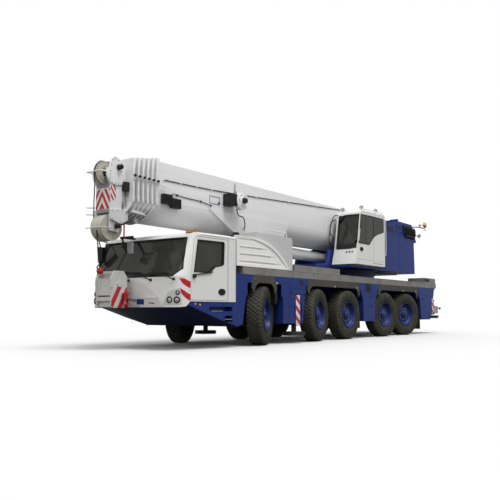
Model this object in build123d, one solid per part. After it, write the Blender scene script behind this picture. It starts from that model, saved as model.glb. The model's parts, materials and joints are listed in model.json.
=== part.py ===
from build123d import *
import os
from math import acos, atan2, cos, degrees, hypot, pi, sin

# Five-axle mobile crane with a seven-part telescopic boom. Millimetres.
# +X is forward, +Y is the crane's left, +Z is up and the ground is z = 0.
# Stations along the crane are measured forward from the third axle. Heights have
# the axles at AXLE_Z. save() moves each finished solid into the frame with its
# origin at mid length, and onto the ground that the tyres stand on.

# Stance
AXLE_3_X = -503.5  # third axle in the frame
AXLE_Z = 685.0
HALF_WIDTH = 1375.0
AXLE_STATIONS = {1: 4120.0, 2: 1650.0, 3: 0.0, 4: -2460.0, 5: -4120.0}
REST_STEER = {1: 22.0, 2: 11.0, 4: -8.0, 5: -15.0}  # degrees to the left, as parked
SIDES = ((1, "L"), (-1, "R"))
MERGE = 5.0  # how far fused pieces run into each other
RUN_GAP = 0.3  # between pieces that turn or slide on each other

# Wheels: w is the distance outward from the kingpin along the wheel's axis
TYRE_RADIUS = 685.0
TYRE_WIDTH = 386.0
TYRE_SIDES = 40
TREAD_WIDTH = 310.0
BULGE_RADIUS = 530.0
BEAD_RADIUS = 318.0
BEAD_WIDTH = 270.0
KINGPIN_Y = HALF_WIDTH - 425.0
WHEEL_MIDDLE = 232.0
RIM_SIDES = 24
RIM_WALL = 16.0
FLANGE_RISE = 44.0
FLANGE_THICK = 14.0
DISC_DEPTH = 75.0
DISC_THICK = 30.0
HUB_SIDES = 16
HUB_RADIUS = 150.0
HUB_CAP_RADIUS = 110.0
HUB_CAP_PROUD = 60.0
SPINDLE_RADIUS = 90.0
KNUCKLE_RADIUS = 95.0
KNUCKLE_HEIGHT = 300.0
STEER_ARM = 300.0
YOKE_THICK = 50.0
YOKE_HALF = 70.0
AXLE_TUBE_RADIUS = 105.0
GEAR_CASE_RADIUS = 210.0
GEAR_CASE_LENGTH = 420.0
SPRING_SEAT_Y = 360.0
SWEEP_RADIUS = TYRE_RADIUS + 115.0  # clear space about a kingpin for the steered tyre

# Chassis
FRAME_HALF = 430.0
FRAME_TOP = 1590.0
FRAME_BOTTOM = 800.0
FRAME_FRONT = 5150.0
RAIL_WALL = 60.0
SKIRT_TOP = 1605.0
DECK_TOP = 1780.0
DECK_REAR = -6700.0
DECK_FRONT = 4970.0
TRAY_HEIGHT = 170.0
TRAY_FRONT = -5650.0
LOCKER_REAR = 400.0
LOCKER_FRONT = 2730.0
LOCKER_HEIGHT = 160.0
BUMPER_REAR = -7045.0
BUMPER_DEPTH = 110.0
BUMPER_HALF = HALF_WIDTH - 275.0
BUMPER_Z = 930.0
STAY_Y = 340.0
GUARD_LOW = 1420.0
GUARD_THICK = 25.0

# Outriggers
BEAM_WIDTH = 300.0
BEAM_HEIGHT = 320.0
BEAM_BOTTOM = 640.0
BEAM_CLEAR = 15.0
BEAM_STAGGER = 450.0
BEAM_STATIONS = {"F": 2700.0, "R": -6380.0}
PAD_HEIGHTS = {"F": 190.0, "R": 530.0}
HOUSING_ABOVE_PAD = {"F": 160.0, "R": 40.0}
GUIDE_WALL = 30.0
JACK_Y = HALF_WIDTH - 135.0
BEAM_REACH = JACK_Y - 190.0  # how far a beam runs past the middle when it is in
JACK_HALF = 125.0
JACK_TOP = 1190.0
JACK_ROD_RADIUS = 62.0
PAD_RADIUS = 280.0
PAD_THICK = 90.0

# Carrier cab
CAB_REAR = 5220.0
CAB_FRONT = 7030.0
CAB_SIDE_FRONT = 6930.0
CAB_CORNER = 260.0
SCREEN_FOOT = 1480.0
SCREEN_LEAN = 0.463  # how far the windscreen runs back in each unit of height
SCREEN_PLAN_TOP = 2420.0  # level of the upper plan that the cab's corners are drawn to
UPPER_SIDE_FRONT = 6540.0
UPPER_CORNER = 110.0
ROOF_CORNER = 80.0
CAB_BOTTOM = 980.0
CAB_FLOOR = 1050.0
CAB_WALL = 50.0
DOOR_REAR = 5510.0
DOOR_FRONT = 6680.0
DOOR_BOTTOM = 1010.0
DOOR_TOP = 2300.0
DOOR_GAP = 8.0
DOOR_HINGES = (1130.0, 1430.0)
GLASS = 12.0
GLASS_INSET = 14.0
SEAT_X = 5650.0
SEAT_Y = HALF_WIDTH - 675.0

# Engine and its housings behind the cab
CABINET_REAR = 2800.0
CABINET_FRONT = 5140.0
CABINET_STEP = 4340.0
CABINET_TOP = 2600.0
CABINET_LOW = 2420.0
CABINET_ROUND = 90.0
CABINET_INNER = 620.0
CABINET_OUTER = HALF_WIDTH - 95.0
HOOD_HALF = 590.0
HOOD_TOP = 2140.0
FAIRING_FRONT = 5190.0
FAIRING_TOP = 2450.0
FAIRING_RIM = 55.0
FAIRING_SINK = 12.0
GROOVE_HEIGHT = 26.0
GROOVE_DEPTH = 10.0

# Boom
BOOM_HALF = 450.0
BOOM_BOTTOM = 2630.0
BOOM_HEIGHT = 1300.0
BOOM_TOP = BOOM_BOTTOM + BOOM_HEIGHT
BOOM_TAIL = -4750.0
BOOM_FRONT = 6760.0
BOOM_WALL = 12.0
SECTION_STEP = 42.0
SECTION_COUNT = 7
COLLAR_PITCH = 114.0
COLLAR_THICK = 45.0
COLLAR_PROUD = 50.0
COLLAR_TAPER = 18.0
COLLAR_LEAN = 230.0
LEAN_STEP = 25.0
LEAN_TOP = BOOM_BOTTOM + 360.0
TAIL_STEP = 90.0
LUG_X = 2400.0
LUG_Z = 2450.0
LUG_THICK = 50.0
LUG_INNER = 95.0
LUG_BELOW = 120.0
EYE_RADIUS = 150.0
FOOT_X = -1700.0
FOOT_Z = 2380.0
FOOT_RADIUS = 150.0
BARREL_RADIUS = 160.0
BARREL_SHORT = 330.0  # barrel mouth to the rod's eye
ROD_RADIUS = 90.0

# Superstructure
SLEW_X = -2200.0
RING_RADIUS = 1000.0
RING_MOUNT_RADIUS = 980.0
RING_MOUNT_TOP = 1885.0
PLATFORM_BOTTOM = 2045.0
PLATFORM_TOP = 2140.0
CHEEK_INNER = BOOM_HALF + 40.0
CHEEK_THICK = 60.0
PLATFORM_HALF = CHEEK_INNER + 70.0
PIVOT_X = -4400.0
PIVOT_Z = 3250.0
PIVOT_RADIUS = 110.0
HOUSING_INNER = CHEEK_INNER + 130.0
HOUSING_OUTER = HALF_WIDTH - 155.0
WINCH_X = -5330.0
WINCH_Z = 2900.0
WINCH_RADIUS = 280.0
WINCH_HALF = 400.0

# Crane cab
OPCAB_INNER = CHEEK_INNER + 110.0
OPCAB_OUTER = HALF_WIDTH
OPCAB_BOTTOM = PLATFORM_TOP + 10.0
OPCAB_WALL = 45.0

# Boom head
LOWER_SHEAVE_X = 7700.0
LOWER_SHEAVE_Z = 2450.0
LOWER_SHEAVE_RADIUS = 270.0
TOP_SHEAVE_X = 7790.0
TOP_SHEAVE_Z = 3550.0
TOP_SHEAVE_RADIUS = 235.0
SHEAVE_RIM = 9.0
GROOVE_SINK = 24.0
HEAD_HALF = 215.0
HEAD_PLATE = 30.0
HEAD_FRONT = 7800.0
SHEAVE_HALF = 160.0
TOP_SHEAVE_HALF = 45.0
KEEPER_RADIUS = 12.0
KEEPER_GAP = 5.0
KEEPER_ARM = 60.0
ROPE_RADIUS = 11.0
SOCKET_X = 7700.0
SOCKET_Y = -160.0
SOCKET_Z = 1590.0
SOCKET_RADIUS = 70.0

# Hook block
BLOCK_X = 7400.0
BLOCK_Y = -150.0
BLOCK_HALF = 225.0
BLOCK_CHEEK = 30.0
BLOCK_BOTTOM = 850.0
BLOCK_TOP = 1600.0
BLOCK_SHEAVE_Z = 1330.0
BLOCK_SHEAVE_RADIUS = 150.0
BLOCK_COVER = 45.0
HOOK_X = 7300.0
HOOK_Y = 190.0
HOOK_Z = 960.0
HOOK_THROAT = 75.0
HOOK_THICK = 32.0


def block(x0, x1, y0, y1, z0, z1):
    """Box between two stations, with its limits in y and z."""
    return Pos((x0 + x1) / 2, (y0 + y1) / 2, (z0 + z1) / 2) * Box(x1 - x0, y1 - y0, z1 - z0)


def slab(outline, y0, y1, grow=0.0):
    """Plate from y0 to y1 with its outline in stations and heights, grown all round."""
    flat = make_face(Polyline(outline, close=True))
    if grow:
        flat = offset(flat, amount=grow, kind=Kind.INTERSECTION)
    face = Plane((0, y0, 0), x_dir=(1, 0, 0), z_dir=(0, -1, 0)) * flat
    return extrude(face, amount=y1 - y0, dir=(0, 1, 0))


def facing(outline, x0, x1, grow=0.0):
    """Plate from x0 to x1 with its outline in widths and heights, grown all round."""
    flat = make_face(Polyline(outline, close=True))
    if grow:
        flat = offset(flat, amount=grow, kind=Kind.INTERSECTION)
    face = Plane((x0, 0, 0), x_dir=(0, 1, 0), z_dir=(1, 0, 0)) * flat
    return extrude(face, amount=x1 - x0, dir=(1, 0, 0))


def rod_y(x, z, radius, y0, y1):
    """Round bar across the crane."""
    return Pos(x, (y0 + y1) / 2, z) * Rot(90, 0, 0) * Cylinder(radius, y1 - y0)


def rod_x(x0, x1, y, z, radius):
    """Round bar along the crane."""
    return Pos((x0 + x1) / 2, y, z) * Rot(0, 90, 0) * Cylinder(radius, x1 - x0)


def rod_z(x, y, radius, z0, z1):
    """Upright round bar."""
    return Pos(x, y, (z0 + z1) / 2) * Cylinder(radius, z1 - z0)


def across(shape):
    """The same shape on the crane's right."""
    return mirror(shape, about=Plane.XZ)


def joined(shapes):
    """All of the shapes fused."""
    whole = shapes[0]
    for shape in shapes[1:]:
        whole = whole + shape
    return whole


def save(node, *shapes):
    """Write one node from its separate solids, moved into the frame."""
    place = Pos(AXLE_3_X, 0, TYRE_RADIUS - AXLE_Z)
    solids = [place * solid for shape in shapes for solid in shape.solids()]
    export_step(Compound(children=solids), f"parts/{node}.step")


# Wheels


def ring(loop, sides):
    """Solid about +Y with flat facets, from a closed loop of (w, radius), one facet down."""
    grown = 1 / cos(pi / sides)
    faces = []
    for step in range(sides):
        first = 2 * pi * (step - 0.5) / sides
        last = 2 * pi * (step + 0.5) / sides
        for (w0, r0), (w1, r1) in zip(loop, loop[1:] + loop[:1]):
            corners = [
                (r0 * grown * sin(first), w0, -r0 * grown * cos(first)),
                (r0 * grown * sin(last), w0, -r0 * grown * cos(last)),
                (r1 * grown * sin(last), w1, -r1 * grown * cos(last)),
                (r1 * grown * sin(first), w1, -r1 * grown * cos(first)),
            ]
            faces.append(Face(Wire.make_polygon([Vector(*corner) for corner in corners])))
    return Solid(Shell(faces))


def disc(w0, w1, radius0, radius1, sides):
    """Cone about +Y with flat facets."""
    faces = []
    for w, radius in ((w0, radius0), (w1, radius1)):
        plane = Plane((0, w, 0), x_dir=(0, 0, -1), z_dir=(0, 1, 0))
        faces.append(plane * RegularPolygon(radius, sides, major_radius=False, rotation=180 / sides))
    return loft(faces, ruled=True)


def tyre():
    """Tyre with its kingpin at the origin: bore, bulging walls, shoulders and a flat tread."""
    bead, tread, wall = BEAD_WIDTH / 2, TREAD_WIDTH / 2, TYRE_WIDTH / 2
    half = [(bead, BEAD_RADIUS), (wall, BULGE_RADIUS), (tread, TYRE_RADIUS)]
    loop = [(WHEEL_MIDDLE + w, r) for w, r in half] + [(WHEEL_MIDDLE - w, r) for w, r in reversed(half)]
    return ring(loop, TYRE_SIDES)


def disc_face():
    """Outer face of the rim's disc, as a distance from the kingpin."""
    return WHEEL_MIDDLE + BEAD_WIDTH / 2 - DISC_DEPTH


def rim():
    """Rim: barrel in the tyre's bore, flange outside its bead, sunk disc and hub cap."""
    radius = (BEAD_RADIUS - RUN_GAP) * cos(pi / RIM_SIDES)
    inner = WHEEL_MIDDLE - BEAD_WIDTH / 2
    outer = WHEEL_MIDDLE + BEAD_WIDTH / 2 + 1.0
    slope = (TYRE_WIDTH - BEAD_WIDTH) / 2 / (BULGE_RADIUS - BEAD_RADIUS)
    lip = outer + FLANGE_RISE * slope + 1.0
    bore = radius - RIM_WALL
    loop = [
        (inner, radius),
        (outer, radius),
        (lip, radius + FLANGE_RISE),
        (lip + FLANGE_THICK, radius + FLANGE_RISE),
        (outer + FLANGE_THICK, bore),
        (inner, bore),
    ]
    face = disc_face()
    centre = disc(face - DISC_THICK, face, bore + MERGE, bore + MERGE, RIM_SIDES)
    cap = disc(face, face + HUB_CAP_PROUD, HUB_RADIUS, HUB_CAP_RADIUS, HUB_SIDES)
    return ring(loop, RIM_SIDES) + centre + cap


def knuckle(side):
    """Steering knuckle: kingpin boss, spindle that ends at the rim, and steering arm to the rear."""
    boss = Cylinder(KNUCKLE_RADIUS, KNUCKLE_HEIGHT)
    end = disc_face() - DISC_THICK - RUN_GAP
    spindle = Pos(0, end / 2, 0) * Rot(90, 0, 0) * Cylinder(SPINDLE_RADIUS, end)
    arm = Pos(-side * STEER_ARM / 2, -20, -60) * Box(STEER_ARM, 60, 40)
    return boss + spindle + arm


def corner(axle, side):
    """Place of a wheel's kingpin: side is 1 on the left and -1 on the right."""
    angle = REST_STEER.get(axle, 0.0) + (0 if side > 0 else 180)
    return Pos(AXLE_STATIONS[axle], side * KINGPIN_Y, AXLE_Z) * Rot(0, 0, angle)


def wheels():
    for axle in AXLE_STATIONS:
        for side, letter in SIDES:
            place = corner(axle, side)
            save(f"tyre_{axle}{letter}", place * tyre())
            save(f"rim_{axle}{letter}", place * rim())
            if axle in REST_STEER:
                save(f"knuckle_{axle}{letter}", place * knuckle(side))


def axle_beam(axle):
    """Axle tube with its gear case, spring seats, and a yoke round each kingpin boss."""
    x = AXLE_STATIONS[axle]
    z = AXLE_Z
    half = GEAR_CASE_LENGTH / 2
    parts = [rod_x(x - half, x + half, 0, z, GEAR_CASE_RADIUS)]
    if axle in REST_STEER:
        reach = KINGPIN_Y - KNUCKLE_RADIUS - YOKE_THICK
        level = KNUCKLE_HEIGHT / 2 + RUN_GAP
        far = KINGPIN_Y + 40
        outer = level + YOKE_THICK
        yoke = block(x - YOKE_HALF, x + YOKE_HALF, reach, far, z - outer, z + outer)
        mouth = reach + YOKE_THICK / 2
        yoke -= block(x - YOKE_HALF - 1, x + YOKE_HALF + 1, mouth, far + 1, z - level, z + level)
        parts += [yoke, across(yoke), rod_y(x, z, AXLE_TUBE_RADIUS, -reach - MERGE, reach + MERGE)]
    else:
        reach = KINGPIN_Y + disc_face() - DISC_THICK - RUN_GAP
        parts.append(rod_y(x, z, SPINDLE_RADIUS, -reach, reach))
        parts.append(rod_y(x, z, AXLE_TUBE_RADIUS, -KINGPIN_Y, KINGPIN_Y))
    for y in (-SPRING_SEAT_Y, SPRING_SEAT_Y):
        parts.append(block(x - 60, x + 60, y - 55, y + 55, z, FRAME_BOTTOM))
    return joined(parts)


def driveline():
    engine = block(3500, 4900, -400, 400, DECK_TOP, HOOD_TOP - 60)
    return [axle_beam(axle) for axle in AXLE_STATIONS], engine


# Chassis

POSTS = {
    "front": [
        (5200, SKIRT_TOP),
        (5200, 450),
        (4980, 490),
        (4870, 1030),
        (4600, 1545),
        (4570, SKIRT_TOP),
    ],
    "first": [
        (3700, SKIRT_TOP),
        (3660, 1530),
        (3370, 1050),
        (3370, 490),
        (2480, 490),
        (2400, 1050),
        (2180, 1590),
        (2180, SKIRT_TOP),
    ],
    "second": [
        (-580, SKIRT_TOP),
        (-610, 1530),
        (-840, 1100),
        (-880, 490),
        (-1610, 490),
        (-1660, 1050),
        (-1930, 1590),
        (-1930, SKIRT_TOP),
    ],
    "third": [
        (-4910, SKIRT_TOP),
        (-5200, 1050),
        (-5260, 490),
        (-6140, 490),
        (-6510, 1540),
        (-6600, SKIRT_TOP),
    ],
}
GUARDS = ((4570, 4660, 3600, 3690), (2190, 2260, -680, -590), (-1920, -1860, -5010, -4920))
NOSE_INNER = [(5150, 975), (6930, 975), (6920, 850), (5900, 480), (5850, 470), (5150, 460)]
NOSE_OUTER = [(5150, 975), (6930, 975), (6930, 955), (6450, 815), (5850, 635), (5150, 450)]
NOSE_HALF = HALF_WIDTH - 725.0
STEPS = ((5340, 6120, 780, 880), (5340, 5600, 560, 690))
STEP_DEPTH = 150.0


def beam_station(end, side):
    """Station of an outrigger beam: the right one runs beside the left."""
    return BEAM_STATIONS[end] + (0 if side > 0 else BEAM_STAGGER)


def beam_space(end, side):
    """Clear space in the chassis for one beam, its jack housing and its pad."""
    x = beam_station(end, side)
    far = HALF_WIDTH + 50
    half = BEAM_WIDTH / 2 + BEAM_CLEAR
    low, high = BEAM_BOTTOM - RUN_GAP, BEAM_BOTTOM + BEAM_HEIGHT + BEAM_CLEAR
    space = block(x - half, x + half, -BEAM_REACH - BEAM_CLEAR, far, low, high)
    half = JACK_HALF + BEAM_CLEAR
    space += block(x - half, x + half, JACK_Y - half, far, 0, JACK_TOP + BEAM_CLEAR)
    half = PAD_RADIUS + BEAM_CLEAR
    high = PAD_HEIGHTS[end] + PAD_THICK + BEAM_CLEAR
    space += rod_z(x, JACK_Y, half, 0, high) + block(x - half, x + half, JACK_Y, far, 0, high)
    return space if side > 0 else across(space)


def guide_ends(end):
    """First and last station of the cross box that both beams of one end slide in."""
    stations = [beam_station(end, side) for side, letter in SIDES]
    half = BEAM_WIDTH / 2 + BEAM_CLEAR + GUIDE_WALL
    return min(stations) - half, max(stations) + half


def nose():
    """Blue tray under the cab, rising towards its sides and front."""
    middle = slab(NOSE_INNER, -NOSE_HALF, NOSE_HALF)
    faces = []
    for outline, y in ((NOSE_INNER, NOSE_HALF), (NOSE_OUTER, HALF_WIDTH)):
        flat = make_face(Polyline(outline, close=True))
        faces.append(Plane((0, y, 0), x_dir=(1, 0, 0), z_dir=(0, -1, 0)) * flat)
    wing = loft(faces, ruled=True)
    for x0, x1, z0, z1 in STEPS:
        wing -= block(x0, x1, HALF_WIDTH - STEP_DEPTH, HALF_WIDTH + 50, z0, z1)
    return (middle + wing + across(wing)) & cab_plan(0)


def swing_clear(shape):
    """The shape, cut back where steered tyres swing."""
    for axle in REST_STEER:
        sweep = rod_z(AXLE_STATIONS[axle], KINGPIN_Y, SWEEP_RADIUS, 0, GUARD_LOW)
        shape = shape - sweep - across(sweep)
    return shape


def side_boxes(name, inner):
    """Pair of deep side boxes between the wheels."""
    box = slab(POSTS[name], inner, HALF_WIDTH)
    return swing_clear(box + across(box))


def rails(x0, x1):
    """Length of the box frame, arched over the gear cases."""
    frame = block(x0, x1, -FRAME_HALF, FRAME_HALF, FRAME_BOTTOM, FRAME_TOP)
    half = GEAR_CASE_LENGTH / 2 + 50
    inner = FRAME_HALF - RAIL_WALL
    for x in AXLE_STATIONS.values():
        frame -= block(x - half, x + half, -inner, inner, 600, AXLE_Z + GEAR_CASE_RADIUS + 60)
    return frame


def outrigger_box(end, name):
    """Cross box between two lengths of the frame, with the side boxes on its ends."""
    x0, x1 = guide_ends(end)
    reach = JACK_Y - JACK_HALF - BEAM_CLEAR
    low = BEAM_BOTTOM - BEAM_CLEAR - GUIDE_WALL
    high = BEAM_BOTTOM + BEAM_HEIGHT + BEAM_CLEAR + GUIDE_WALL
    half = FRAME_HALF + MERGE
    box = block(x0, x1, -reach, reach, low, high) + block(x0, x1, -half, half, high - MERGE, FRAME_TOP)
    box = swing_clear(box) + side_boxes(name, FRAME_HALF + RUN_GAP)
    for side, letter in SIDES:
        box -= beam_space(end, side)
    return box


def bumper():
    """Rear bar on its two stays."""
    stay_end = guide_ends("R")[0] - RUN_GAP
    front = BUMPER_REAR + BUMPER_DEPTH
    bar = block(BUMPER_REAR, front, -BUMPER_HALF, BUMPER_HALF, BUMPER_Z - 80, BUMPER_Z + 80)
    stay = block(front - MERGE, stay_end, STAY_Y - 40, STAY_Y + 40, BUMPER_Z - 60, BUMPER_Z + 60)
    return bar + stay + across(stay)


def chassis_frame():
    """Lengths of the frame and the outrigger boxes between them, each a solid of its own."""
    rear, front = guide_ends("R")[1] + RUN_GAP, guide_ends("F")[0] - RUN_GAP
    middle = rails(rear, front) + side_boxes("second", FRAME_HALF - MERGE)
    middle += rod_z(SLEW_X, 0, RING_MOUNT_RADIUS, FRAME_TOP - 100, RING_MOUNT_TOP)
    fore = rails(guide_ends("F")[1] + RUN_GAP, FRAME_FRONT) + side_boxes("front", FRAME_HALF - MERGE)
    fore = fore + nose() - cab_form()
    return fore, outrigger_box("F", "first"), middle, outrigger_box("R", "third"), bumper()


def deck():
    plate = block(DECK_REAR, DECK_FRONT, -HALF_WIDTH, HALF_WIDTH, SKIRT_TOP, DECK_TOP)
    plate -= rod_z(SLEW_X, 0, RING_MOUNT_RADIUS + 5, SKIRT_TOP - 10, DECK_TOP + 10)
    low, outer = DECK_TOP - MERGE, HALF_WIDTH
    tray = block(DECK_REAR + 40, TRAY_FRONT, outer - 625, outer - 5, low, DECK_TOP + TRAY_HEIGHT)
    locker = block(LOCKER_REAR, LOCKER_FRONT, outer - 425, outer - 75, low, DECK_TOP + LOCKER_HEIGHT)
    return plate + tray + across(tray) + locker + across(locker)


def mudguards():
    """Edge strips above the wheel arches, under the deck."""
    lips = []
    for front, front_low, rear_low, rear in GUARDS:
        outline = [(front, SKIRT_TOP), (front_low, GUARD_LOW), (rear_low, GUARD_LOW), (rear, SKIRT_TOP)]
        lip = slab(outline, HALF_WIDTH - 5 - GUARD_THICK, HALF_WIDTH - 5)
        for name in POSTS:
            lip -= side_boxes(name, FRAME_HALF)
        lips += [lip, across(lip)]
    return lips


def outrigger(end, side):
    """Sliding beam with its jack housing, and the jack with its pad."""
    x = beam_station(end, side)
    half = BEAM_WIDTH / 2
    beam = block(x - half, x + half, -BEAM_REACH, JACK_Y, BEAM_BOTTOM, BEAM_BOTTOM + BEAM_HEIGHT)
    foot = PAD_HEIGHTS[end] + PAD_THICK + HOUSING_ABOVE_PAD[end]
    beam += block(x - JACK_HALF, x + JACK_HALF, JACK_Y - JACK_HALF, HALF_WIDTH - 5, foot, JACK_TOP)
    beam -= rod_z(x, JACK_Y, JACK_ROD_RADIUS + RUN_GAP, min(foot, BEAM_BOTTOM) - 10, JACK_TOP - 40)
    bottom = PAD_HEIGHTS[end]
    jack = rod_z(x, JACK_Y, PAD_RADIUS, bottom, bottom + PAD_THICK)
    jack += rod_z(x, JACK_Y, JACK_ROD_RADIUS, bottom + PAD_THICK - MERGE, JACK_TOP - 50)
    return (beam, jack) if side > 0 else (across(beam), across(jack))


def outriggers():
    for end in BEAM_STATIONS:
        for side, letter in SIDES:
            beam, jack = outrigger(end, side)
            save(f"outrigger_beam_{end}{letter}", beam)
            save(f"outrigger_jack_{end}{letter}", jack)


# Carrier cab

def screen_x(z):
    """Station of the windscreen's face at mid width."""
    return CAB_FRONT - (z - SCREEN_FOOT) * SCREEN_LEAN


CAB_PROFILE = [
    (CAB_REAR, CAB_BOTTOM),
    (6700, CAB_BOTTOM),
    (6790, 880),
    (6960, 860),
    (CAB_FRONT, 1420),
    (CAB_FRONT, SCREEN_FOOT),
    (screen_x(2300), 2300),
    (6510, 2385),
    (5600, 2410),
    (CAB_REAR, 2395),
]
CAB_CAVITY = [
    (CAB_REAR + CAB_WALL, CAB_FLOOR),
    (6760, CAB_FLOOR),
    (CAB_FRONT - CAB_WALL - 40, 1400),
    (CAB_FRONT - CAB_WALL - 40, SCREEN_FOOT),
    (screen_x(2270) - CAB_WALL - 30, 2270),
    (6490, 2335),
    (CAB_REAR + CAB_WALL, 2345),
]
SCREEN_SIDE = [(HALF_WIDTH - 265, SCREEN_FOOT - 5), (HALF_WIDTH - 85, 1625), (HALF_WIDTH - 170, 2285)]
SCREEN = SCREEN_SIDE + [(-y, z) for y, z in reversed(SCREEN_SIDE)]
DOOR_OUTLINE = [
    (DOOR_REAR, DOOR_BOTTOM),
    (DOOR_FRONT, DOOR_BOTTOM),
    (DOOR_FRONT, 1560),
    (6560, DOOR_TOP - 60),
    (6500, DOOR_TOP),
    (DOOR_REAR, DOOR_TOP),
]
DOOR_WINDOW = [
    (6490, 2235),
    (5650, 2250),
    (5620, 2220),
    (5640, 1770),
    (5700, 1740),
    (5920, 1700),
    (6060, 1600),
    (6200, 1575),
    (6600, 1565),
]


def cab_outline(front, side_front, corner, inset):
    """Cab seen from above at one level: straight sides, rounded corners and a crowned front."""
    half = HALF_WIDTH - inset
    radius = corner - inset
    with BuildSketch() as sketch:
        with BuildLine():
            left = JernArc((side_front - corner, half), (1, 0), radius, -82)
            right = mirror(left, about=Plane.XZ)
            ThreePointArc(left @ 1, (front - inset, 0), right @ 1)
            Polyline(left @ 0, (CAB_REAR - 100, half), (CAB_REAR - 100, -half), right @ 0)
        make_face()
    return sketch.sketch


def cab_plan(inset):
    """Cab seen from above, upright to the windscreen's foot and leaning back over it."""
    foot = cab_outline(CAB_FRONT, CAB_SIDE_FRONT, CAB_CORNER, inset)
    brow = cab_outline(screen_x(SCREEN_PLAN_TOP), UPPER_SIDE_FRONT, UPPER_CORNER, inset)
    lean = loft([Pos(0, 0, SCREEN_FOOT) * foot, Pos(0, 0, SCREEN_PLAN_TOP) * brow], ruled=True)
    return extrude(foot, amount=SCREEN_FOOT) + lean


def cab_section():
    """Cab seen from the front, with its rounded roof edges, along its whole length."""
    high = SCREEN_PLAN_TOP - 12
    turn = ROOF_CORNER * (1 - cos(pi / 4))
    with BuildSketch() as sketch:
        with BuildLine():
            foot, roof = (HALF_WIDTH, high - ROOF_CORNER), (HALF_WIDTH - ROOF_CORNER, high)
            left = ThreePointArc(foot, (HALF_WIDTH - turn, high - turn), roof)
            right = mirror(left, about=Plane.YZ)
            Line(left @ 1, right @ 1)
            Polyline(left @ 0, (HALF_WIDTH, 0), (-HALF_WIDTH, 0), right @ 0)
        make_face()
    face = Plane((CAB_REAR - 20, 0, 0), x_dir=(0, 1, 0), z_dir=(1, 0, 0)) * sketch.sketch
    return extrude(face, amount=CAB_FRONT - CAB_REAR + 40, dir=(1, 0, 0))


def cab_form():
    return slab(CAB_PROFILE, -HALF_WIDTH, HALF_WIDTH) & cab_plan(0) & cab_section()


def door_opening():
    return slab(DOOR_OUTLINE, HALF_WIDTH - CAB_WALL - 35, HALF_WIDTH + 20, DOOR_GAP)


def cab_shell():
    shell = cab_form() - (slab(CAB_CAVITY, -HALF_WIDTH, HALF_WIDTH) & cab_plan(CAB_WALL))
    shell = shell - facing(SCREEN, 6300, 7200) - door_opening() - across(door_opening())
    rear, front = DOOR_FRONT + RUN_GAP, DOOR_FRONT + DOOR_GAP + MERGE
    for z in DOOR_HINGES:
        hinge = block(rear, front, HALF_WIDTH - CAB_WALL, HALF_WIDTH - 5, z - 45, z + 45)
        shell += hinge + across(hinge)
    return shell


def cab_door():
    """Door cut from the cab's outer wall, with its window."""
    wall = cab_plan(0) - cab_plan(CAB_WALL)
    door = slab(DOOR_OUTLINE, HALF_WIDTH - CAB_WALL - 35, HALF_WIDTH) & wall
    return door - slab(DOOR_WINDOW, HALF_WIDTH - CAB_WALL - 60, HALF_WIDTH + 20)


def cab_layer(inset):
    """Cab form moved inward at its front and sides."""
    profile = [(x - inset if x > DOOR_REAR + 200 else x, z) for x, z in CAB_PROFILE]
    return slab(profile, -HALF_WIDTH, HALF_WIDTH) & cab_plan(inset)


def cab_glazing():
    layer = cab_layer(GLASS_INSET) - cab_layer(GLASS_INSET + GLASS)
    return layer & facing(SCREEN, 6300, 7200, -0.3)


def cab_trim():
    """Two seats, and the dash with its steering wheel, seen through the windscreen."""
    parts = []
    for y in (-SEAT_Y, SEAT_Y):
        seat = block(SEAT_X + 50, SEAT_X + 450, y - 180, y + 180, CAB_FLOOR, CAB_FLOOR + 260)
        seat += block(SEAT_X, SEAT_X + 530, y - 240, y + 240, CAB_FLOOR + 250, CAB_FLOOR + 370)
        x, z = SEAT_X, CAB_FLOOR + 360
        seat += slab([(x - 90, z), (x + 30, z), (x - 40, z + 640), (x - 150, z + 640)], y - 230, y + 230)
        parts.append(seat)
    front = [(6730, CAB_FLOOR), (6850, 1400), (6850, 1470)]
    half = HALF_WIDTH - 225
    dash = slab([(6560, CAB_FLOOR)] + front + [(6540, 1500), (6500, 1380)], -half, half)
    place = Pos(6400, SEAT_Y, 1580) * Rot(0, 50, 0)
    wheel = place * (Cylinder(225, 30) - Cylinder(190, 40) + Box(400, 60, 24))
    column = place * Pos(0, 0, 75) * Cylinder(35, 160)
    parts.append(dash + wheel + column)
    return parts


# Housings on the deck

FAIRING_ARC = ((4724, FAIRING_TOP), (3660, 2238), (3062, DECK_TOP))
FAIRING_GROOVES = ((2205, 4010), (2045, 3700), (1885, 3440))  # height and rear end of each


def fairing(inset, y0, y1):
    """Side panel with its curved rear edge, drawn in all round by the inset."""
    arc = ThreePointArc(*FAIRING_ARC)
    rest = Polyline(arc @ 1, (FAIRING_FRONT, DECK_TOP), (FAIRING_FRONT, FAIRING_TOP), arc @ 0)
    flat = make_face(arc + rest)
    if inset:
        flat = offset(flat, amount=-inset, kind=Kind.INTERSECTION)
    face = Plane((0, y0, 0), x_dir=(1, 0, 0), z_dir=(0, -1, 0)) * flat
    return extrude(face, amount=y1 - y0, dir=(0, 1, 0))


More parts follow.
